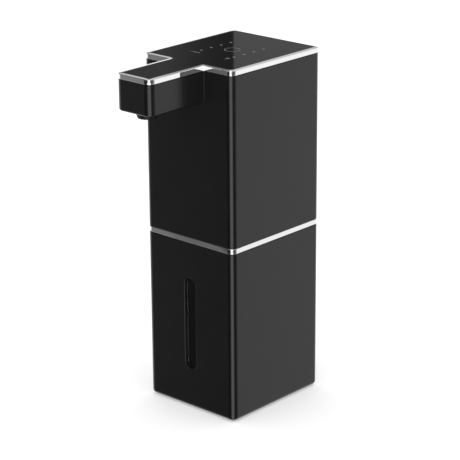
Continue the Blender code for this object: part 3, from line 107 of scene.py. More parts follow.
# Nozzle
NOZZLE_SETBACK = 0.0106
NOZZLE_RADIUS = 0.0061
NOZZLE_DROP = 0.0040
NOZZLE_STEP = 0.0026
NOZZLE_LIP_RADIUS = 0.0052
NOZZLE_BORE = 0.0034
NOZZLE_MOUTH = 0.0042
NOZZLE_FLANGE_RADIUS = 0.0073
NOZZLE_FLANGE = 0.0012

# Hand sensor
SENSOR_SETBACK = 0.0290
SENSOR_WIDTH = 0.0100
SENSOR_DEPTH = 0.0052
SENSOR_FLANGE = 0.0014
SENSOR_FLANGE_HEIGHT = 0.0010
SENSOR_LED_HEIGHT = 0.0022
SENSOR_POST_RADIUS = 0.0014
SENSOR_POST_GAP = 0.0004

# Charging port and its flap
SOCKET_LEVEL = 0.0140
SOCKET_WIDTH = 0.0090
SOCKET_HEIGHT = 0.0032
PORT_CLEARANCE = 0.0007
PORT_BLOCK_MARGIN = 0.0030
PORT_BLOCK_DEPTH = 0.0024
FLAP_WIDTH = 0.0160
FLAP_HEIGHT = 0.0100
FLAP_THICKNESS = 0.0011
FLAP_RADIUS = 0.0016
PLUG_DEPTH = 0.0012
PLUG_INSET = 0.0006

# Small roundings and steps that the solids leave out
SOFT_EDGE = 0.00025
SLOT_EDGE = 0.00045
CREASE_RADIUS = 0.00025
CREASE_SINK = 0.00002
LIP_OUTER_EDGE = 0.00025
LIP_INNER_EDGE = 0.00012
LIP_FALL = 0.00024
PANEL_EDGE = 0.00020
STRIP_RIM = 0.00025
STRIP_DISH = 0.00012
STRIP_EDGE = 0.00010

# Printed marks on the panel: places from the body's middle, seen from above
MARK_SINK = 0.00001
MARK_RISE = 0.00002
MARK_ROW_X = 0.0123
MARK_SPACING = 0.0082
MARK_COUNT = 4
DOT_RADIUS = 0.00080
RING_OUTER = 0.0047
RING_INNER = 0.0040
RING_GAP = radians(26)
RING_GAP_HEADING = radians(50)
SIGN_BAR_PLACE = (-0.0128, -0.0174)
SIGN_BAR_WIDTH = 0.0009
SIGN_BAR_LENGTHS = (0.0009, 0.0014, 0.0020, 0.0026, 0.0022)
SIGN_BAR_STEP = 0.0016
DROP_PLACE = (0.0116, -0.0166)
DROP_RADIUS = 0.0012
DROP_TIP = 0.0030
DROP_SPAN = radians(300)

# How finely the surfaces are cut
CORNER_STEPS = 20
EDGE_STEPS = 5
FILLET_STEPS = 10
ROUND_SIDES = 72
SMALL_SIDES = 28
SHARP_ANGLE = radians(32)

# How a finish drifts: the part of a noise's range that is used, and how much fine detail it has
NOISE_LOW = 0.3
NOISE_HIGH = 0.7
NOISE_DETAIL = 3.0
BUMP_DETAIL = 2.0

# Camera, fitted to the object's straight edges: it turns about the aim and stands off along its own axes
CAMERA_HEADING = radians(42.24)
CAMERA_PITCH = radians(19.00)
CAMERA_ROLL = radians(-0.40)
CAMERA_AIM = (0.0, 0.0, 0.09706)
CAMERA_OFFSET = (-0.002087, 0.002028, 1.110624)
CAMERA_LENS = 150.85
CAMERA_SENSOR = 36.0

# Studio: what mirrors see round the object. Each table gives (degrees, brightness) points.
# A heading is 0 straight behind the object, as the camera sees it, and 180 behind the camera.
# It grows towards the camera's left. An elevation is 0 at the horizon and 90 straight up.
# Other starts and ends are heights of a direction, from -1 straight down to 1 straight up.
WHITE = 1.0
CARD_LIGHT = 2.60
UNCAPPED = 3.0

# Below the horizon: bright cards round the camera, and the greys that the casing's faces mirror
STUDIO_BANDS = (
    (-180.0, CARD_LIGHT), (-162.0, CARD_LIGHT), (-158.0, 0.09), (-122.0, 0.09), (-97.0, 0.75),
    (-90.0, 0.80), (-88.0, 0.97), (-81.0, 0.97), (-79.0, 0.70), (60.0, 0.70),
    (70.0, 0.30), (88.0, 0.30), (91.5, 0.225), (92.5, 0.20), (93.3, 0.180),
    (94.3, 0.128), (95.30, 0.155), (95.45, 0.055), (101.0, 0.040), (104.0, 0.02),
    (150.0, 0.02), (157.0, CARD_LIGHT), (180.0, CARD_LIGHT),
)
LOW_START = -0.30
LOW_FULL = -0.42
LOW_SHARE = 0.80

# The most light, by heading, at the elevations that the trims' near corners mirror
TRIM_CAPS = (
    (-180.0, 1.0), (-175.0, 1.0), (-162.0, 0.09), (-158.0, 0.09), (-150.0, UNCAPPED),
    (145.0, UNCAPPED), (150.0, 0.02), (151.0, 0.02), (166.0, 1.0), (180.0, 1.0),
)
TRIM_HEIGHTS = (
    (-90.0, 0.0), (-20.25, 0.0), (-20.20, 1.0), (-19.15, 1.0), (-19.10, 0.0),
    (-15.04, 0.0), (-15.00, 1.0), (-13.75, 1.0), (-13.70, 0.0), (90.0, 0.0),
)

# Light added for trims that are seen square on, away from the elevations of the near corners
FACE_STRIPS = (
    (-180.0, 0.0), (-139.0, 0.0), (-136.5, 0.35), (-128.0, 0.35), (-125.5, 0.0),
    (132.5, 0.0), (135.0, 0.35), (140.5, 0.35), (143.0, 0.0), (180.0, 0.0),
)
FACE_STRIP_HEIGHTS = (
    (-90.0, 0.0), (-16.20, 0.0), (-15.90, 1.0), (-15.08, 1.0), (-15.04, 0.0),
    (-13.70, 0.0), (-13.65, 1.0), (90.0, 1.0),
)

# White behind the object
AWAY_HALF_ANGLE = radians(76)
AWAY_EDGE = radians(4)

# Above the horizon: a dark and a lighter half that the panel mirrors, with white kept for the far lips
SKY_BANDS = (
    (-180.0, 0.16), (-60.0, 0.16), (-20.0, 0.23), (-0.17, 0.23), (-0.13, 0.037),
    (0.5, 0.050), (1.0, 0.067), (2.0, 0.127), (60.0, 0.16), (180.0, 0.16),
)
SKY_START = 0.0
SKY_FULL = 0.03
BEHIND_HALF_ANGLE = radians(10)
BEHIND_LOW = 0.190
BEHIND_CLEAR = 0.205

# Higher up: what the near lips of the top trim mirror
RAISED_BANDS = (
    (-180.0, 0.56), (-3.2, 0.56), (-2.5, 0.28), (-1.95, 0.28), (-1.25, 0.56),
    (0.9, 0.56), (1.3, 0.16), (4.0, 0.16), (4.4, 0.56), (14.0, 0.56),
    (18.0, 0.12), (106.0, 0.12), (112.0, 0.56), (180.0, 0.56),
)
RAISED_START = 0.275
RAISED_FULL = 0.330

# Overhead: what the rounded upper edges mirror
OVERHEAD_BANDS = (
    (-180.0, 0.95), (10.0, 0.95), (18.0, 0.12), (106.0, 0.12), (114.0, 0.95), (180.0, 0.95),
)
OVERHEAD_START = 0.50
OVERHEAD_FULL = 0.75

# What lights the matte surfaces, from straight below and from straight above
AMBIENT_LOW = 0.55
AMBIENT_HIGH = 1.25

# Floor, with the glow of its own that the camera sees
FLOOR_RADIUS = 6.0
FLOOR_COLOUR = 0.80
FLOOR_GLOW = 0.30

# Finishes by name
FINISHES = {
    "gloss_black": dict(
        colour=(0.0060, 0.0060, 0.0063), roughness=0.21, ior=1.46, rough_spread=0.02, drift=0.020,
    ),
    "panel_black": dict(colour=(0.004, 0.004, 0.0045), roughness=0.025),
    "chrome": dict(colour=(0.93, 0.93, 0.935), roughness=0.035, metallic=1.0, spread=0.01),
    "clear_plastic": dict(
        colour=(0.88, 0.91, 0.92), roughness=0.06, ior=1.45, transmission=1.0,
        spread=0.02, rough_spread=0.02,
    ),
    # The level strip's clear plastic with a dark tint: painted shade that darkens the slot's recess
    # behind it
    "smoked_window": dict(
        colour=(0.15, 0.15, 0.155), roughness=0.06, ior=1.45, transmission=1.0,
        spread=0.02, rough_spread=0.02,
    ),
    "smoked_lens": dict(colour=(0.012, 0.006, 0.010), roughness=0.06),
    "silicone": dict(
        colour=(0.030, 0.030, 0.031), roughness=0.55, ior=1.41, bump_size=0.0004, bump_depth=0.00001,
    ),
    "white_silicone": dict(
        colour=(0.78, 0.78, 0.75), roughness=0.42, ior=1.41, transmission=0.25,
        bump_size=0.0005, bump_depth=0.00001,
    ),
    "black_abs": dict(
        colour=(0.0060, 0.0060, 0.0063), roughness=0.42, ior=1.33, bump_size=0.0003, bump_depth=0.00001,
    ),
    "white_pom": dict(colour=(0.78, 0.78, 0.75), roughness=0.38, bump_size=0.0005, bump_depth=0.000006),
    "steel": dict(colour=(0.58, 0.59, 0.61), roughness=0.28, metallic=1.0, drift=0.002),
    "ferrite": dict(
        colour=(0.06, 0.06, 0.062), roughness=0.68, spread=0.25, drift=0.002,
        bump_size=0.0003, bump_depth=0.00002,
    ),
    "brass": dict(colour=(0.70, 0.52, 0.25), roughness=0.35, metallic=1.0, spread=0.12, drift=0.002),
    "board_green": dict(colour=(0.020, 0.14, 0.06), roughness=0.35, spread=0.12, drift=0.003),
    "chip_black": dict(
        colour=(0.025, 0.025, 0.026), roughness=0.52, bump_size=0.0002, bump_depth=0.000008,
    ),
    "connector_white": dict(colour=(0.80, 0.78, 0.70), roughness=0.46, drift=0.004),
    "cell_wrap": dict(colour=(0.06, 0.17, 0.42), roughness=0.30, spread=0.10, drift=0.006),
    "lead_red": dict(colour=(0.42, 0.025, 0.018), roughness=0.42, drift=0.004),
    "print_grey": dict(colour=(0.15, 0.15, 0.15), roughness=0.20, drift=0.002),
    "print_dim": dict(colour=(0.060, 0.060, 0.061), roughness=0.20, drift=0.002),
}

# Levels, places and outlines' sizes that follow from these
half_width = BODY_WIDTH / 2
half_depth = BODY_DEPTH / 2
head_low = TOTAL_HEIGHT - HEAD_HEIGHT
mid_trim_top = head_low - FIT_GAP
mid_trim_low = mid_trim_top - MID_TRIM_HEIGHT
sleeve_top = mid_trim_low - FIT_GAP
sleeve_low = PAD_PROUD
slot_high_end = sleeve_top - SLOT_TO_RIM
slot_length = slot_high_end - SLOT_LOW_END
slot_centre = (0.0, (SLOT_LOW_END + slot_high_end) / 2)
top_trim_low = TOTAL_HEIGHT - TOP_TRIM_HEIGHT
housing_top = top_trim_low - FIT_GAP
arm_low = TOTAL_HEIGHT - ARM_HEIGHT
arm_floor_top = arm_low + ARM_FLOOR
arm_front = -(half_depth + ARM_REACH)
arm_half = ARM_WIDTH / 2
panel_top = TOTAL_HEIGHT - PANEL_RECESS
panel_low = panel_top - PANEL_THICKNESS
trim_shelf_top = panel_low - FIT_GAP
tank_floor_low = sleeve_low + SLEEVE_FLOOR + FIT_GAP
tank_floor_top = tank_floor_low + TANK_FLOOR
chassis_top = head_low + CHASSIS_THICKNESS
inner_x = half_width - CASING_WALL
inner_y = half_depth - CASING_WALL
nozzle_y = arm_front + NOZZLE_SETBACK
nozzle_flange_low = arm_floor_top + FIT_GAP
sensor_y = arm_front + SENSOR_SETBACK
sensor_flange_top = arm_floor_top + FIT_GAP + SENSOR_FLANGE_HEIGHT
sensor_board_low = sensor_flange_top + FIT_GAP + SENSOR_LED_HEIGHT + FIT_GAP
socket_level = chassis_top + FIT_GAP + SOCKET_LEVEL
flap_back = half_depth - FLAP_THICKNESS
seal_proud = SPIGOT_CLEARANCE - FIT_GAP
seal_top = head_low - SEAL_LEVEL
seal_low = seal_top - SEAL_HEIGHT

casing_size = (half_width, half_depth, CORNER_RADIUS)
sleeve_inner_size = (half_width - SLEEVE_WALL, half_depth - SLEEVE_WALL, TANK_CORNER_RADIUS + FIT_GAP)
pad_size = (half_width - PAD_MARGIN, half_depth - PAD_MARGIN, PAD_CORNER_RADIUS)


def rounded_outline(corners, steps=CORNER_STEPS):
    """Points round a polygon whose corners are (x, y, radius); radius 0 stays sharp."""
    points = []
    count = len(corners)
    for index, (x, y, radius) in enumerate(corners):
        here = Vector((x, y))
        if radius == 0:
            points.append(here)
            continue
        back = (Vector(corners[index - 1][:2]) - here).normalized()
        ahead = (Vector(corners[(index + 1) % count][:2]) - here).normalized()
        half = back.angle(ahead) / 2
        centre = here + (back + ahead).normalized() * (radius / sin(half))
        start = here + back * (radius / tan(half)) - centre
        end = here + ahead * (radius / tan(half)) - centre
        sweep = atan2(start.cross(end), start.dot(end))
        for step in range(steps + 1):
            points.append(centre + Matrix.Rotation(sweep * step / steps, 2) @ start)
    return points


def softened(corners):
    """The same for a section, whose corners are (inset, level, radius)."""
    return [(point.x, point.y) for point in rounded_outline(corners, EDGE_STEPS)]


def rectangle(half_x, half_y, radius, centre=(0.0, 0.0)):
    x, y = centre
    return rounded_outline([
        (x + half_x, y - half_y, radius),
        (x + half_x, y + half_y, radius),
        (x - half_x, y + half_y, radius),
        (x - half_x, y - half_y, radius),
    ])


def drawn_in(radius, inset):
    """A corner's radius on an outline that is drawn in by an inset."""
    return max(radius - inset, MIN_RADIUS)


def shrunk(size, inset):
    half_x, half_y, radius = size
    return (half_x - inset, half_y - inset, drawn_in(radius, inset))


def casing_outline(inset):
    return rectangle(*shrunk(casing_size, inset))


def head_outline(inset):
    """The head's T shape from above, drawn in by an inset."""
    body_x = half_width - inset
    body_y = half_depth - inset
    arm_x = arm_half - inset
    front = arm_front + inset
    body_radius = drawn_in(CORNER_RADIUS, inset)
    arm_radius = drawn_in(ARM_CORNER_RADIUS, inset)
    crease = CREASE_RADIUS + inset
    return rounded_outline([
        (body_x, -body_y, body_radius),
        (body_x, body_y, body_radius),
        (-body_x, body_y, body_radius),
        (-body_x, -body_y, body_radius),
        (-arm_x, -body_y, crease),
        (-arm_x, front, arm_radius),
        (arm_x, front, arm_radius),
        (arm_x, -body_y, crease),
    ])


def circle(radius, sides=ROUND_SIDES, centre=(0.0, 0.0)):
    middle = Vector(centre)
    angles = [2 * pi * side / sides for side in range(sides)]
    return [middle + Vector((cos(angle), sin(angle))) * radius for angle in angles]


def stadium(half_x, half_y, centre=(0.0, 0.0), sides=ROUND_SIDES):
    """A slot's outline, long along its larger half size."""
    radius = min(half_x, half_y)
    offset = Vector((half_x - radius, half_y - radius))
    first = 0.0 if half_y > half_x else -pi / 2
    points = []
    for turn, shift in ((0, offset), (1, -offset)):
        for step in range(sides // 2 + 1):
            angle = first + pi * turn + pi * step / (sides // 2)
            points.append(Vector(centre) + shift + Vector((cos(angle), sin(angle))) * radius)
    return points


def level(outline, height, plane="XY"):
    if plane == "XZ":
        return [Vector((point.x, height, point.y)) for point in outline]
    return [Vector((point.x, point.y, height)) for point in outline]


def add_object(name, shape):
    mesh = bpy.data.meshes.new(name)
    shape.to_mesh(mesh)
    shape.free()
    thing = bpy.data.objects.new(name, mesh)
    bpy.context.scene.collection.objects.link(thing)
    return thing


def skin(name, loops, ring=False):
    """Closed mesh through loops of equal count; a ring joins its last loop to its first."""
    shape = bmesh.new()
    rows = [[shape.verts.new(point) for point in loop] for loop in loops]
    pairs = list(zip(rows, rows[1:]))
    if ring:
        pairs.append((rows[-1], rows[0]))
    else:
        shape.faces.new(rows[0])
        shape.faces.new(rows[-1])
    for row, following in pairs:
        for index in range(len(row)):
            after = (index + 1) % len(row)
            shape.faces.new((row[index], row[after], following[after], following[index]))
    bmesh.ops.recalc_face_normals(shape, faces=shape.faces[:])
    return add_object(name, shape)


def lofted(name, outline_at, section, plane="XY", ring=False):
    """A shell whose section is (inset, level) points, round the outline that each inset gives."""
    return skin(name, [level(outline_at(inset), height, plane) for inset, height in section], ring)


def prism(name, outline, low, high, plane="XY"):
    return skin(name, [level(outline, low, plane), level(outline, high, plane)])


def turned(name, section, centre=(0.0, 0.0), ring=False, sides=ROUND_SIDES):
    """A turned piece on a vertical axis, from (radius, level) points."""
    return skin(name, [level(circle(radius, sides, centre), z) for radius, z in section], ring)


def plate(name, outline_at, low, high, low_edge, high_edge, plane="XY"):
    """A plate with rounded edges on both faces, which are flat inside the core."""
    core = 2 * max(low_edge, high_edge)
    section = softened([
        (core, low, 0),
        (0.0, low, low_edge),
        (0.0, high, high_edge),
        (core, high, 0),
    ])
    return lofted(name, outline_at, section, plane)


def box(name, low, high):
    outline = [
        Vector((low[0], low[1])),
        Vector((high[0], low[1])),
        Vector((high[0], high[1])),
        Vector((low[0], high[1])),
    ]
    return prism(name, outline, low[2], high[2])


def apply_boolean(target, tool, operation):
    modifier = target.modifiers.new(operation.lower(), "BOOLEAN")
    modifier.operation = operation
    modifier.solver = "EXACT"
    modifier.object = tool
    graph = bpy.context.evaluated_depsgraph_get()
    result = bpy.data.meshes.new_from_object(target.evaluated_get(graph))
    target.modifiers.clear()
    target.data = result
    bpy.data.objects.remove(tool, do_unlink=True)


def cut(target, *tools):
    for tool in tools:
        apply_boolean(target, tool, "DIFFERENCE")


def add(target, *tools):
    for tool in tools:
        apply_boolean(target, tool, "UNION")


def joined(name, pieces):
    """One object that holds several separate shapes."""
    shape = bmesh.new()
    for piece in pieces:
        shape.from_mesh(piece.data)
        bpy.data.objects.remove(piece, do_unlink=True)
    return add_object(name, shape)


def holes(places, radius, low, high):
    drills = [prism("drill", circle(radius, SMALL_SIDES, place), low, high) for place in places]
    return joined("drills", drills)


def flared_cut(name, outline_at, face, inward, depth, edge, plane="XY"):
    """A cutter that goes in from a face and leaves the hole's edge rounded."""
    section = [(-edge, face - inward * CUT_OVERRUN), (-edge, face - inward * CREASE_SINK)]
    for step in range(1, EDGE_STEPS + 1):
        angle = pi / 2 * step / EDGE_STEPS
        section.append((edge * (sin(angle) - 1), face + inward * edge * (1 - cos(angle))))
    section.append((0.0, face + inward * depth))
    return lofted(name, outline_at, section, plane)


def fillet_section(low, radius):
    """(inset, level) points up a rounded bottom edge."""
    angles = [pi / 2 * step / FILLET_STEPS for step in range(FILLET_STEPS + 1)]
    return [(radius * (1 - sin(angle)), low + radius * (1 - cos(angle))) for angle in angles]


def smooth(thing):
    """Smooth shading that keeps flat faces flat and real edges sharp."""
    thing.data.shade_smooth()
    thing.data.set_sharp_from_angle(angle=SHARP_ANGLE)
    modifier = thing.modifiers.new("flat faces", "WEIGHTED_NORMAL")
    modifier.keep_sharp = True


def map_range(tree, value, low, high, to_low, to_high):
    node = tree.nodes.new("ShaderNodeMapRange")
    node.inputs["From Min"].default_value = low
    node.inputs["From Max"].default_value = high
    node.inputs["To Min"].default_value = to_low
    node.inputs["To Max"].default_value = to_high
    tree.links.new(value, node.inputs["Value"])
    return node.outputs["Result"]


def rising(tree, value, start, full):
    """0 up to the start, 1 from full on, and a slope between."""
    return map_range(tree, value, start, full, 0.0, 1.0)


def combined(tree, operation, first, second=None):
    """A math node's result, from a socket and perhaps a second socket or number."""
    node = tree.nodes.new("ShaderNodeMath")
    node.operation = operation
    tree.links.new(first, node.inputs[0])
    if isinstance(second, float):
        node.inputs[1].default_value = second
    elif second is not None:
        tree.links.new(second, node.inputs[1])
    return node.outputs["Value"]


def blend_values(tree, factor, first, second):
    """A value between two, each of which is a socket or a number."""
    mix = tree.nodes.new("ShaderNodeMix")
    tree.links.new(factor, mix.inputs["Factor"])
    for socket, value in ((mix.inputs["A"], first), (mix.inputs["B"], second)):
        if isinstance(value, float):
            socket.default_value = value
        else:
            tree.links.new(value, socket)
    return mix.outputs["Result"]


def new_material(name):
    material = bpy.data.materials.new(name)
    material.use_nodes = True
    tree = material.node_tree
    return tree, tree.nodes["Principled BSDF"], material


def noise(tree, size, detail=NOISE_DETAIL):
    """A noise fixed to the piece, with features of about one size in metres."""
    place = tree.nodes.new("ShaderNodeTexCoord")
    texture = tree.nodes.new("ShaderNodeTexNoise")
    texture.inputs["Scale"].default_value = 1 / size
    texture.inputs["Detail"].default_value = detail
    tree.links.new(place.outputs["Object"], texture.inputs["Vector"])
    return texture.outputs["Fac"]


def drifting(tree, size, low, high):
    """A value that drifts between two over the piece."""
    return map_range(tree, noise(tree, size), NOISE_LOW, NOISE_HIGH, low, high)


def add_colour(tree, shader, colour, spread, size):
    """Base colour that drifts a little lighter and darker over the piece."""
    mix = tree.nodes.new("ShaderNodeMix")
    mix.data_type = "RGBA"
    mix.inputs["A"].default_value = (*[channel * (1 - spread) for channel in colour], 1.0)
    mix.inputs["B"].default_value = (*[channel * (1 + spread) for channel in colour], 1.0)
    tree.links.new(drifting(tree, size, 0.0, 1.0), mix.inputs["Factor"])
    tree.links.new(mix.outputs["Result"], shader.inputs["Base Color"])


def add_roughness(tree, shader, roughness, spread, size):
    """Roughness that drifts a little over the piece."""
    drift = drifting(tree, size, roughness * (1 - spread), roughness * (1 + spread))
    tree.links.new(drift, shader.inputs["Roughness"])


def add_bump(tree, shader, size, depth):
    bump = tree.nodes.new("ShaderNodeBump")
    bump.inputs["Distance"].default_value = depth
    bump.inputs["Strength"].default_value = 1.0
    tree.links.new(noise(tree, size, BUMP_DETAIL), bump.inputs["Height"])
    tree.links.new(bump.outputs["Normal"], shader.inputs["Normal"])


def surface(name, colour, roughness, metallic=0.0, ior=1.5, transmission=0.0,
            spread=0.08, drift=0.010, rough_spread=0.15, bump_size=0.0, bump_depth=0.0):
    """A finish whose colour and roughness drift by their spreads, over the drift's length."""
    tree, shader, material = new_material(name)
    add_colour(tree, shader, colour, spread, drift)
    add_roughness(tree, shader, roughness, rough_spread, drift / 2)
    shader.inputs["Metallic"].default_value = metallic
    shader.inputs["IOR"].default_value = ior
    shader.inputs["Transmission Weight"].default_value = transmission
    if bump_size:
        add_bump(tree, shader, bump_size, bump_depth)
    return material


def make_casing_lower():
    recess = shrunk(pad_size, -FIT_GAP)
    loops = [
        level(rectangle(*recess), PAD_THICKNESS + FIT_GAP),
        level(rectangle(*recess), sleeve_low),
    ]
    loops += [level(casing_outline(inset), z) for inset, z in fillet_section(sleeve_low, BASE_FILLET)]
    rim = softened([(0.0, sleeve_low, 0), (0.0, sleeve_top, SOFT_EDGE), (CORNER_RADIUS, sleeve_top, 0)])
    loops += [level(casing_outline(inset), z) for inset, z in rim[1:-1]]
    loops.append(level(rectangle(*sleeve_inner_size), sleeve_top))
    loops.append(level(rectangle(*sleeve_inner_size), sleeve_low + SLEEVE_FLOOR))
    casing = skin("casing_lower", loops)
    cut(casing, flared_cut(
        "slot", lambda inset: stadium(SLOT_WIDTH / 2 - inset, slot_length / 2 - inset, slot_centre),
        -half_depth, 1, SLEEVE_WALL + CUT_OVERRUN, SLOT_EDGE, "XZ",
    ))
    return casing


def make_soap_reservoir():
    outer = shrunk(sleeve_inner_size, FIT_GAP)
    inner = shrunk(outer, TANK_WALL)
    return skin("soap_reservoir", [
        level(rectangle(*shrunk(outer, SOFT_EDGE)), tank_floor_low),
        level(rectangle(*outer), tank_floor_low + SOFT_EDGE),
        level(rectangle(*outer), sleeve_top - SOFT_EDGE),
        level(rectangle(*shrunk(outer, SOFT_EDGE)), sleeve_top),
        level(rectangle(*shrunk(inner, -SOFT_EDGE)), sleeve_top),
        level(rectangle(*inner), sleeve_top - SOFT_EDGE),
        level(rectangle(*inner), tank_floor_top + SOFT_EDGE),
        level(rectangle(*shrunk(inner, SOFT_EDGE)), tank_floor_top),
    ])


def make_level_strip():
    """A clear strip with a thin raised rim that slopes down to a shallow dish."""
    half_x = SLOT_WIDTH / 2 - FIT_GAP
    half_z = slot_length / 2 - FIT_GAP
    back = -half_depth + SLEEVE_WALL
    front = back - WINDOW_THICKNESS
    dish = front + STRIP_DISH
    section = softened([
        (STRIP_RIM + STRIP_DISH, back, 0),
        (0.0, back, 0),
        (0.0, front, STRIP_EDGE),
        (STRIP_RIM, front, STRIP_EDGE / 2),
        (STRIP_RIM + STRIP_DISH, dish, 0),
    ])
    return lofted(
        "level_strip", lambda inset: stadium(half_x - inset, half_z - inset, slot_centre), section, "XZ",
    )


def make_foot_pad():
    return plate(
        "foot_pad", lambda inset: rectangle(*shrunk(pad_size, inset)),
        0.0, PAD_THICKNESS, SOFT_EDGE, SOFT_EDGE,
    )


def make_band_mid():
    inner = SLEEVE_WALL + FIT_GAP + TANK_WALL
    section = softened([
        (0.0, mid_trim_low, SOFT_EDGE),
        (0.0, mid_trim_top, SOFT_EDGE),
        (inner, mid_trim_top, SOFT_EDGE),
        (inner, mid_trim_low, SOFT_EDGE),
    ])
    return lofted("band_mid", casing_outline, section, ring=True)


def arm_outline(inset, back):
    """The arm from above, which widens in a small fillet where it meets the body's front."""
    side = arm_half - inset
    front = arm_front + inset
    radius = drawn_in(ARM_CORNER_RADIUS, inset)
    root = side + 2 * CREASE_RADIUS
    face = -half_depth + CREASE_SINK
    return rounded_outline([
        (root, back, 0),
        (-root, back, 0),
        (-root, face, 0),
        (-side, face, CREASE_RADIUS),
        (-side, front, radius),
        (side, front, radius),
        (side, face, CREASE_RADIUS),
        (root, face, 0),
    ])


def plain_arm_outline(inset, back):
    """The arm from above, with straight sides all the way back."""
    side = arm_half - inset
    front = arm_front + inset
    radius = drawn_in(ARM_CORNER_RADIUS, inset)
    return rounded_outline([
        (side, back, 0),
        (-side, back, 0),
        (-side, front, radius),
        (side, front, radius),
    ])


def make_casing_upper():
    """The upper casing and the arm, one hollow shell that is cut level where the trim starts."""
    back = -inner_y + BASE_FILLET + CASING_WALL
    above = housing_top + CUT_OVERRUN
    over = above + CUT_OVERRUN
    section = softened([
        (0.0, head_low, SOFT_EDGE),
        (0.0, above, 0),
        (CASING_WALL, above, 0),
        (CASING_WALL, head_low, SOFT_EDGE),
    ])
    casing = lofted("casing_upper", casing_outline, section, ring=True)
    arm_root = -half_depth + CASING_WALL / 2
    arm_section = fillet_section(arm_low, ARM_FILLET) + [(0.0, over)]
    add(casing, lofted("arm", lambda inset: arm_outline(inset, arm_root), arm_section))
    highest = over + CUT_OVERRUN
    cut(casing, prism("arm_hollow", plain_arm_outline(CASING_WALL, back), arm_floor_top, highest))
    reach = 2 * BODY_DEPTH
    cut(casing, box("trim_top", (-reach, -reach, housing_top), (reach, reach, highest)))
    add_inner_bosses(casing)
    cut_spout_holes(casing)
    cut_charging_port(casing)
    return casing


def add_inner_bosses(casing):
    places = [
        (side * (inner_x - CORNER_BOSS_INSET), end * (inner_y - CORNER_BOSS_INSET))
        for side in (-1, 1)
        for end in (-1, 1)
    ]
    boss_low = chassis_top + FIT_GAP
    boss_top = boss_low + CORNER_BOSS_HEIGHT
    for place in places:
        add(casing, prism("boss", circle(CORNER_BOSS_RADIUS, SMALL_SIDES, place), boss_low, boss_top))
    cut(casing, holes(
        places, CASE_SCREW_RADIUS + FIT_GAP, boss_low - CUT_OVERRUN, boss_low + CASE_SCREW_LENGTH,
    ))
    reach = SENSOR_WIDTH / 2 + SENSOR_FLANGE + SENSOR_POST_GAP + SENSOR_POST_RADIUS
    for side in (-1, 1):
        outline = circle(SENSOR_POST_RADIUS, SMALL_SIDES, (side * reach, sensor_y))
        add(casing, prism("post", outline, arm_floor_top - ARM_FLOOR / 2, sensor_board_low - FIT_GAP))


def cut_spout_holes(casing):
    depth = ARM_FLOOR + CUT_OVERRUN
    half_x = SENSOR_WIDTH / 2 + FIT_GAP
    half_y = SENSOR_DEPTH / 2 + FIT_GAP
    cut(
        casing,
        flared_cut(
            "nozzle_hole",
            lambda inset: circle(NOZZLE_RADIUS + FIT_GAP - inset, ROUND_SIDES, (0.0, nozzle_y)),
            arm_low, 1, depth, SOFT_EDGE,
        ),
        flared_cut(
            "sensor_hole", lambda inset: stadium(half_x - inset, half_y - inset, (0.0, sensor_y)),
            arm_low, 1, depth, SOFT_EDGE,
        ),
    )


def cut_charging_port(casing):
    block_x = FLAP_WIDTH / 2 + PORT_BLOCK_MARGIN
    block_z = FLAP_HEIGHT / 2 + PORT_BLOCK_MARGIN
    block_front = inner_y - PORT_BLOCK_DEPTH
    add(casing, box(
        "port_block",
        (-block_x, block_front, socket_level - block_z),
        (block_x, inner_y + CASING_WALL / 2, socket_level + block_z),
    ))
    centre = (0.0, socket_level)
    recess = (FLAP_WIDTH / 2 + FIT_GAP, FLAP_HEIGHT / 2 + FIT_GAP, FLAP_RADIUS + FIT_GAP)
    port_x = SOCKET_WIDTH / 2 + PORT_CLEARANCE
    port_z = SOCKET_HEIGHT / 2 + PORT_CLEARANCE
    cut(
        casing,
        flared_cut(
            "flap_recess", lambda inset: rectangle(*shrunk(recess, inset), centre),
            half_depth, -1, FLAP_THICKNESS + FIT_GAP, SOFT_EDGE, "XZ",
        ),
        prism("port", stadium(port_x, port_z, centre), block_front - CUT_OVERRUN, half_depth, "XZ"),
    )


def make_port_flap():
    centre = (0.0, socket_level)
    size = (FLAP_WIDTH / 2, FLAP_HEIGHT / 2, FLAP_RADIUS)
    flap = plate(
        "port_flap", lambda inset: rectangle(*shrunk(size, inset), centre),
        flap_back, half_depth, SOFT_EDGE, SOFT_EDGE, "XZ",
    )
    plug = stadium(SOCKET_WIDTH / 2 - PLUG_INSET, SOCKET_HEIGHT / 2 - PLUG_INSET, centre)
    add(flap, prism("plug", plug, flap_back - PLUG_DEPTH, flap_back + FLAP_THICKNESS / 2, "XZ"))
    return flap


def make_frame_top():
    skirt_outer = CASING_WALL + FIT_GAP
    skirt_inner = skirt_outer + TRIM_SKIRT_WALL
    skirt_low = top_trim_low - TRIM_SKIRT_DEPTH
    section = softened([
        (0.0, top_trim_low, SOFT_EDGE),
        (0.0, TOTAL_HEIGHT - LIP_FALL, LIP_OUTER_EDGE),
        (LIP_WIDTH, TOTAL_HEIGHT, LIP_INNER_EDGE),
        (LIP_WIDTH, trim_shelf_top, 0),
        (TRIM_SHELF_WIDTH, trim_shelf_top, 0),
        (TRIM_SHELF_WIDTH, top_trim_low, 0),
        (skirt_inner, top_trim_low, 0),
        (skirt_inner, skirt_low, 0),
        (skirt_outer, skirt_low, 0),
        (skirt_outer, top_trim_low, 0),
    ])
    return lofted("frame_top", head_outline, section, ring=True)


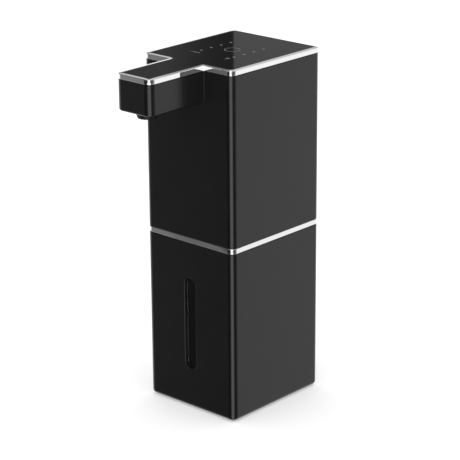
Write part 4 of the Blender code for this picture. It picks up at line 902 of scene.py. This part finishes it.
def make_touch_panel():
    edge = LIP_WIDTH + FIT_GAP
    panel = plate(
        "touch_panel", lambda inset: head_outline(edge + inset),
        panel_low, panel_top, PANEL_EDGE / 2, PANEL_EDGE,
    )
    boss_low = panel_low - PANEL_BOSS_LENGTH
    boss_x = half_width - PANEL_BOSS_TO_SIDE
    boss_y = half_depth - PANEL_BOSS_TO_END
    places = [(side * boss_x, side * boss_y) for side in (-1, 1)]
    for place in places:
        boss = circle(PANEL_BOSS_RADIUS, SMALL_SIDES, place)
        add(panel, prism("boss", boss, boss_low, panel_low + PANEL_THICKNESS / 2))
    cut(panel, holes(places, SMALL_SCREW_RADIUS + FIT_GAP, boss_low - CUT_OVERRUN, panel_low))
    return panel


def arc_strip(inner, outer, start, end):
    """A band between two radii, from one heading to another."""
    angles = [start + (end - start) * step / ROUND_SIDES for step in range(ROUND_SIDES + 1)]
    rays = [Vector((cos(angle), sin(angle))) for angle in angles]
    return [ray * outer for ray in rays] + [ray * inner for ray in reversed(rays)]


def drop_outline(centre):
    """A round drop with its tip towards the spout's far end."""
    x, y = centre
    points = []
    for step in range(SMALL_SIDES + 1):
        angle = pi / 2 - DROP_SPAN / 2 + DROP_SPAN * step / SMALL_SIDES
        points.append(Vector((x + DROP_RADIUS * cos(angle), y + DROP_RADIUS * sin(angle))))
    points.append(Vector((x, y - DROP_TIP)))
    return points


def printed(name, outlines):
    """Thin marks that lie on the panel."""
    low = panel_top - MARK_SINK
    high = panel_top + MARK_RISE
    return joined(name, [prism("mark", outline, low, high) for outline in outlines])


def make_panel_dots():
    outlines = []
    for side in (-1, 1):
        for index in range(MARK_COUNT):
            y = (index - (MARK_COUNT - 1) / 2) * MARK_SPACING
            outlines.append(circle(DOT_RADIUS, SMALL_SIDES, (side * MARK_ROW_X, y)))
    return printed("panel_dots", outlines)


def make_panel_signs():
    """An open ring, a row of bars and a drop."""
    start = RING_GAP_HEADING + RING_GAP / 2
    end = start + 2 * pi - RING_GAP
    outlines = [arc_strip(RING_INNER, RING_OUTER, start, end), drop_outline(DROP_PLACE)]
    x, y = SIGN_BAR_PLACE
    for index, length in enumerate(SIGN_BAR_LENGTHS):
        across = x + (index - (len(SIGN_BAR_LENGTHS) - 1) / 2) * SIGN_BAR_STEP
        outlines.append(stadium(SIGN_BAR_WIDTH / 2, length / 2, (across, y), SMALL_SIDES))
    return printed("panel_signs", outlines)


def make_spout_nozzle():
    flange_top = nozzle_flange_low + NOZZLE_FLANGE
    tip_low = arm_low - NOZZLE_DROP
    step_level = tip_low + NOZZLE_STEP
    section = softened([
        (NOZZLE_BORE, flange_top, 0),
        (NOZZLE_FLANGE_RADIUS, flange_top, SOFT_EDGE),
        (NOZZLE_FLANGE_RADIUS, nozzle_flange_low, SOFT_EDGE),
        (NOZZLE_RADIUS, nozzle_flange_low, 0),
        (NOZZLE_RADIUS, step_level, SOFT_EDGE),
        (NOZZLE_LIP_RADIUS, tip_low, SOFT_EDGE),
        (NOZZLE_MOUTH, tip_low, SOFT_EDGE),
        (NOZZLE_BORE, step_level, SOFT_EDGE),
    ])
    return turned("spout_nozzle", section, (0.0, nozzle_y), ring=True)


def make_sensor_lens():
    centre = (0.0, sensor_y)
    half_x = SENSOR_WIDTH / 2
    half_y = SENSOR_DEPTH / 2
    flange_low = sensor_flange_top - SENSOR_FLANGE_HEIGHT
    section = softened([
        (half_y / 2, arm_low, 0),
        (0.0, arm_low, SOFT_EDGE),
        (0.0, flange_low, 0),
        (-SENSOR_FLANGE, flange_low, 0),
        (-SENSOR_FLANGE, sensor_flange_top, SOFT_EDGE),
        (half_y / 2, sensor_flange_top, 0),
    ])
    return lofted("sensor_lens", lambda inset: stadium(half_x - inset, half_y - inset, centre), section)


def make_seal_ring():
    tank_inner = shrunk(shrunk(sleeve_inner_size, FIT_GAP), TANK_WALL)
    spigot = shrunk(tank_inner, SPIGOT_CLEARANCE)
    section = softened([
        (-seal_proud, seal_low, SOFT_EDGE),
        (-seal_proud, seal_top, SOFT_EDGE),
        (SEAL_DEPTH - seal_proud, seal_top, 0),
        (SEAL_DEPTH - seal_proud, seal_low, 0),
    ])
    return lofted("seal_ring", lambda inset: rectangle(*shrunk(spigot, inset)), section, ring=True)


def dress(piece, slot, body, *nodes):
    """Gives a piece its finish, its body and the solids that it stands for."""
    piece.data.materials.clear()
    piece.data.materials.append(materials[slot])
    smooth(piece)
    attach(piece, body)
    if nodes:
        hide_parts(*nodes)


def dress_solids():
    """Gives every solid that still shows the finish of its slot."""
    slots = {row["node"]: row["material_slot"] for row in frame["record"]["subparts"]}
    for name, node in frame["nodes"].items():
        if not node.material_slots:
            node.data.materials.append(None)
        for holder in node.material_slots:
            holder.material = materials[slots[name]]


def banded(tree, angle, bands):
    """A brightness that follows a table's (degrees, brightness) points."""
    total = bands[0][1]
    for (start, low), (end, high) in zip(bands, bands[1:]):
        if high != low:
            rise = map_range(tree, angle, radians(start), radians(end), 0.0, high - low)
            total = combined(tree, "ADD", rise, total)
    return total


def direction_parts(tree):
    """A direction's heading and elevation as angles, and its height from -1 to 1."""
    place = tree.nodes.new("ShaderNodeTexCoord")
    turn = tree.nodes.new("ShaderNodeVectorRotate")
    turn.rotation_type = "Z_AXIS"
    turn.inputs["Angle"].default_value = -(CAMERA_HEADING + pi / 2)
    parts = tree.nodes.new("ShaderNodeSeparateXYZ")
    tree.links.new(place.outputs["Generated"], turn.inputs["Vector"])
    tree.links.new(turn.outputs["Vector"], parts.inputs["Vector"])
    heading = combined(tree, "ARCTAN2", parts.outputs["Y"], parts.outputs["X"])
    height = parts.outputs["Z"]
    return heading, combined(tree, "ARCSINE", height), height


def low_studio(tree, heading, rise, height):
    """The bands below the horizon, with the trims' corners capped and their faces lit."""
    dimmed = map_range(tree, height, LOW_FULL, LOW_START, LOW_SHARE, 1.0)
    bands = combined(tree, "MULTIPLY", banded(tree, heading, STUDIO_BANDS), dimmed)
    at_corners = banded(tree, rise, TRIM_HEIGHTS)
    caps = blend_values(tree, at_corners, UNCAPPED, banded(tree, heading, TRIM_CAPS))
    between = banded(tree, rise, FACE_STRIP_HEIGHTS)
    strips = combined(tree, "MULTIPLY", banded(tree, heading, FACE_STRIPS), between)
    return combined(tree, "ADD", combined(tree, "MINIMUM", bands, caps), strips)


def sky_share(tree, aside, height):
    """Where the sky shows: above the horizon, except low down and straight behind the object."""
    beside = rising(tree, aside, BEHIND_HALF_ANGLE, BEHIND_HALF_ANGLE + AWAY_EDGE)
    above = rising(tree, height, BEHIND_LOW, BEHIND_CLEAR)
    clear = combined(tree, "MAXIMUM", beside, above)
    return combined(tree, "MULTIPLY", rising(tree, height, SKY_START, SKY_FULL), clear)


def make_world():
    """White for the camera, the studio for mirrors and clear pieces, and soft light for the rest."""
    world = bpy.data.worlds.new("studio")
    bpy.context.scene.world = world
    world.use_nodes = True
    tree = world.node_tree
    tree.nodes.clear()
    heading, rise, height = direction_parts(tree)
    aside = combined(tree, "ABSOLUTE", heading)
    away = map_range(tree, aside, AWAY_HALF_ANGLE, AWAY_HALF_ANGLE + AWAY_EDGE, 1.0, 0.0)
    mirrored = blend_values(tree, away, low_studio(tree, heading, rise, height), WHITE)
    for share, bands in (
        (sky_share(tree, aside, height), SKY_BANDS),
        (rising(tree, height, RAISED_START, RAISED_FULL), RAISED_BANDS),
        (rising(tree, height, OVERHEAD_START, OVERHEAD_FULL), OVERHEAD_BANDS),
    ):
        mirrored = blend_values(tree, share, mirrored, banded(tree, heading, bands))
    ambient = map_range(tree, height, -1.0, 1.0, AMBIENT_LOW, AMBIENT_HIGH)
    path = tree.nodes.new("ShaderNodeLightPath")
    through = path.outputs["Is Transmission Ray"]
    sharp = combined(tree, "MAXIMUM", path.outputs["Is Glossy Ray"], through)
    lit = blend_values(tree, sharp, ambient, mirrored)
    behind = combined(tree, "MULTIPLY", through, away)
    seen = combined(tree, "MAXIMUM", behind, path.outputs["Is Camera Ray"])
    background = tree.nodes.new("ShaderNodeBackground")
    background.inputs["Color"].default_value = (1.0, 1.0, 1.0, 1.0)
    tree.links.new(blend_values(tree, seen, lit, WHITE), background.inputs["Strength"])
    output = tree.nodes.new("ShaderNodeOutputWorld")
    tree.links.new(background.outputs["Background"], output.inputs["Surface"])


def floor_material():
    """Matte and pale, with a glow for the camera alone, and clear when seen from below."""
    material = bpy.data.materials.new("pale_floor")
    material.use_nodes = True
    tree = material.node_tree
    tree.nodes.clear()
    matte = tree.nodes.new("ShaderNodeBsdfDiffuse")
    matte.inputs["Color"].default_value = (FLOOR_COLOUR, FLOOR_COLOUR, FLOOR_COLOUR, 1.0)
    glow = tree.nodes.new("ShaderNodeEmission")
    path = tree.nodes.new("ShaderNodeLightPath")
    strength = map_range(tree, path.outputs["Is Camera Ray"], 0.0, 1.0, 0.0, FLOOR_GLOW)
    tree.links.new(strength, glow.inputs["Strength"])
    both = tree.nodes.new("ShaderNodeAddShader")
    tree.links.new(matte.outputs["BSDF"], both.inputs[0])
    tree.links.new(glow.outputs["Emission"], both.inputs[1])
    clear = tree.nodes.new("ShaderNodeBsdfTransparent")
    side = tree.nodes.new("ShaderNodeNewGeometry")
    choice = tree.nodes.new("ShaderNodeMixShader")
    tree.links.new(side.outputs["Backfacing"], choice.inputs["Fac"])
    tree.links.new(both.outputs["Shader"], choice.inputs[1])
    tree.links.new(clear.outputs["BSDF"], choice.inputs[2])
    output = tree.nodes.new("ShaderNodeOutputMaterial")
    tree.links.new(choice.outputs["Shader"], output.inputs["Surface"])
    return material


def make_floor():
    """A floor that shows white and keeps the object's shadow, and that mirrors don't see."""
    shape = bmesh.new()
    rim = [shape.verts.new(point) for point in level(circle(FLOOR_RADIUS), 0.0)]
    shape.faces.new(rim)
    floor = add_object("studio_floor", shape)
    floor.data.materials.append(floor_material())
    floor.visible_glossy = False
    floor.visible_transmission = False


def make_camera():
    data = bpy.data.cameras.new("camera")
    data.lens = CAMERA_LENS
    data.sensor_width = CAMERA_SENSOR
    camera = bpy.data.objects.new("camera", data)
    bpy.context.scene.collection.objects.link(camera)
    turn = Matrix.Rotation(CAMERA_HEADING, 4, "Z")
    turn = turn @ Matrix.Rotation(pi / 2 - CAMERA_PITCH, 4, "X")
    turn = turn @ Matrix.Rotation(CAMERA_ROLL, 4, "Z")
    camera.matrix_world = Matrix.Translation(CAMERA_AIM) @ turn @ Matrix.Translation(CAMERA_OFFSET)
    bpy.context.scene.camera = camera


materials = {name: surface(name, **finish) for name, finish in FINISHES.items()}
make_camera()
make_world()
make_floor()
dress_solids()
dress(make_casing_lower(), "gloss_black", "tank", "tank_sleeve")
dress(make_soap_reservoir(), "clear_plastic", "tank", "soap_tank")
# The strip's dark tint is painted shade for the slot's recess
dress(make_level_strip(), "smoked_window", "tank", "level_window")
dress(make_foot_pad(), "silicone", "tank", "base_pad")
dress(make_band_mid(), "chrome", "tank", "mid_trim")
dress(make_casing_upper(), "gloss_black", "head", "upper_housing")
dress(make_frame_top(), "chrome", "head", "top_trim")
dress(make_touch_panel(), "panel_black", "head", "top_panel")
dress(make_panel_dots(), "print_grey", "head")
dress(make_panel_signs(), "print_dim", "head")
dress(make_spout_nozzle(), "black_abs", "head", "nozzle_tip")
dress(make_sensor_lens(), "smoked_lens", "head", "sensor_window")
dress(make_seal_ring(), "silicone", "head", "tank_seal")
dress(make_port_flap(), "silicone", "flap", "charge_flap")

bpy.context.scene.view_settings.view_transform = "Standard"
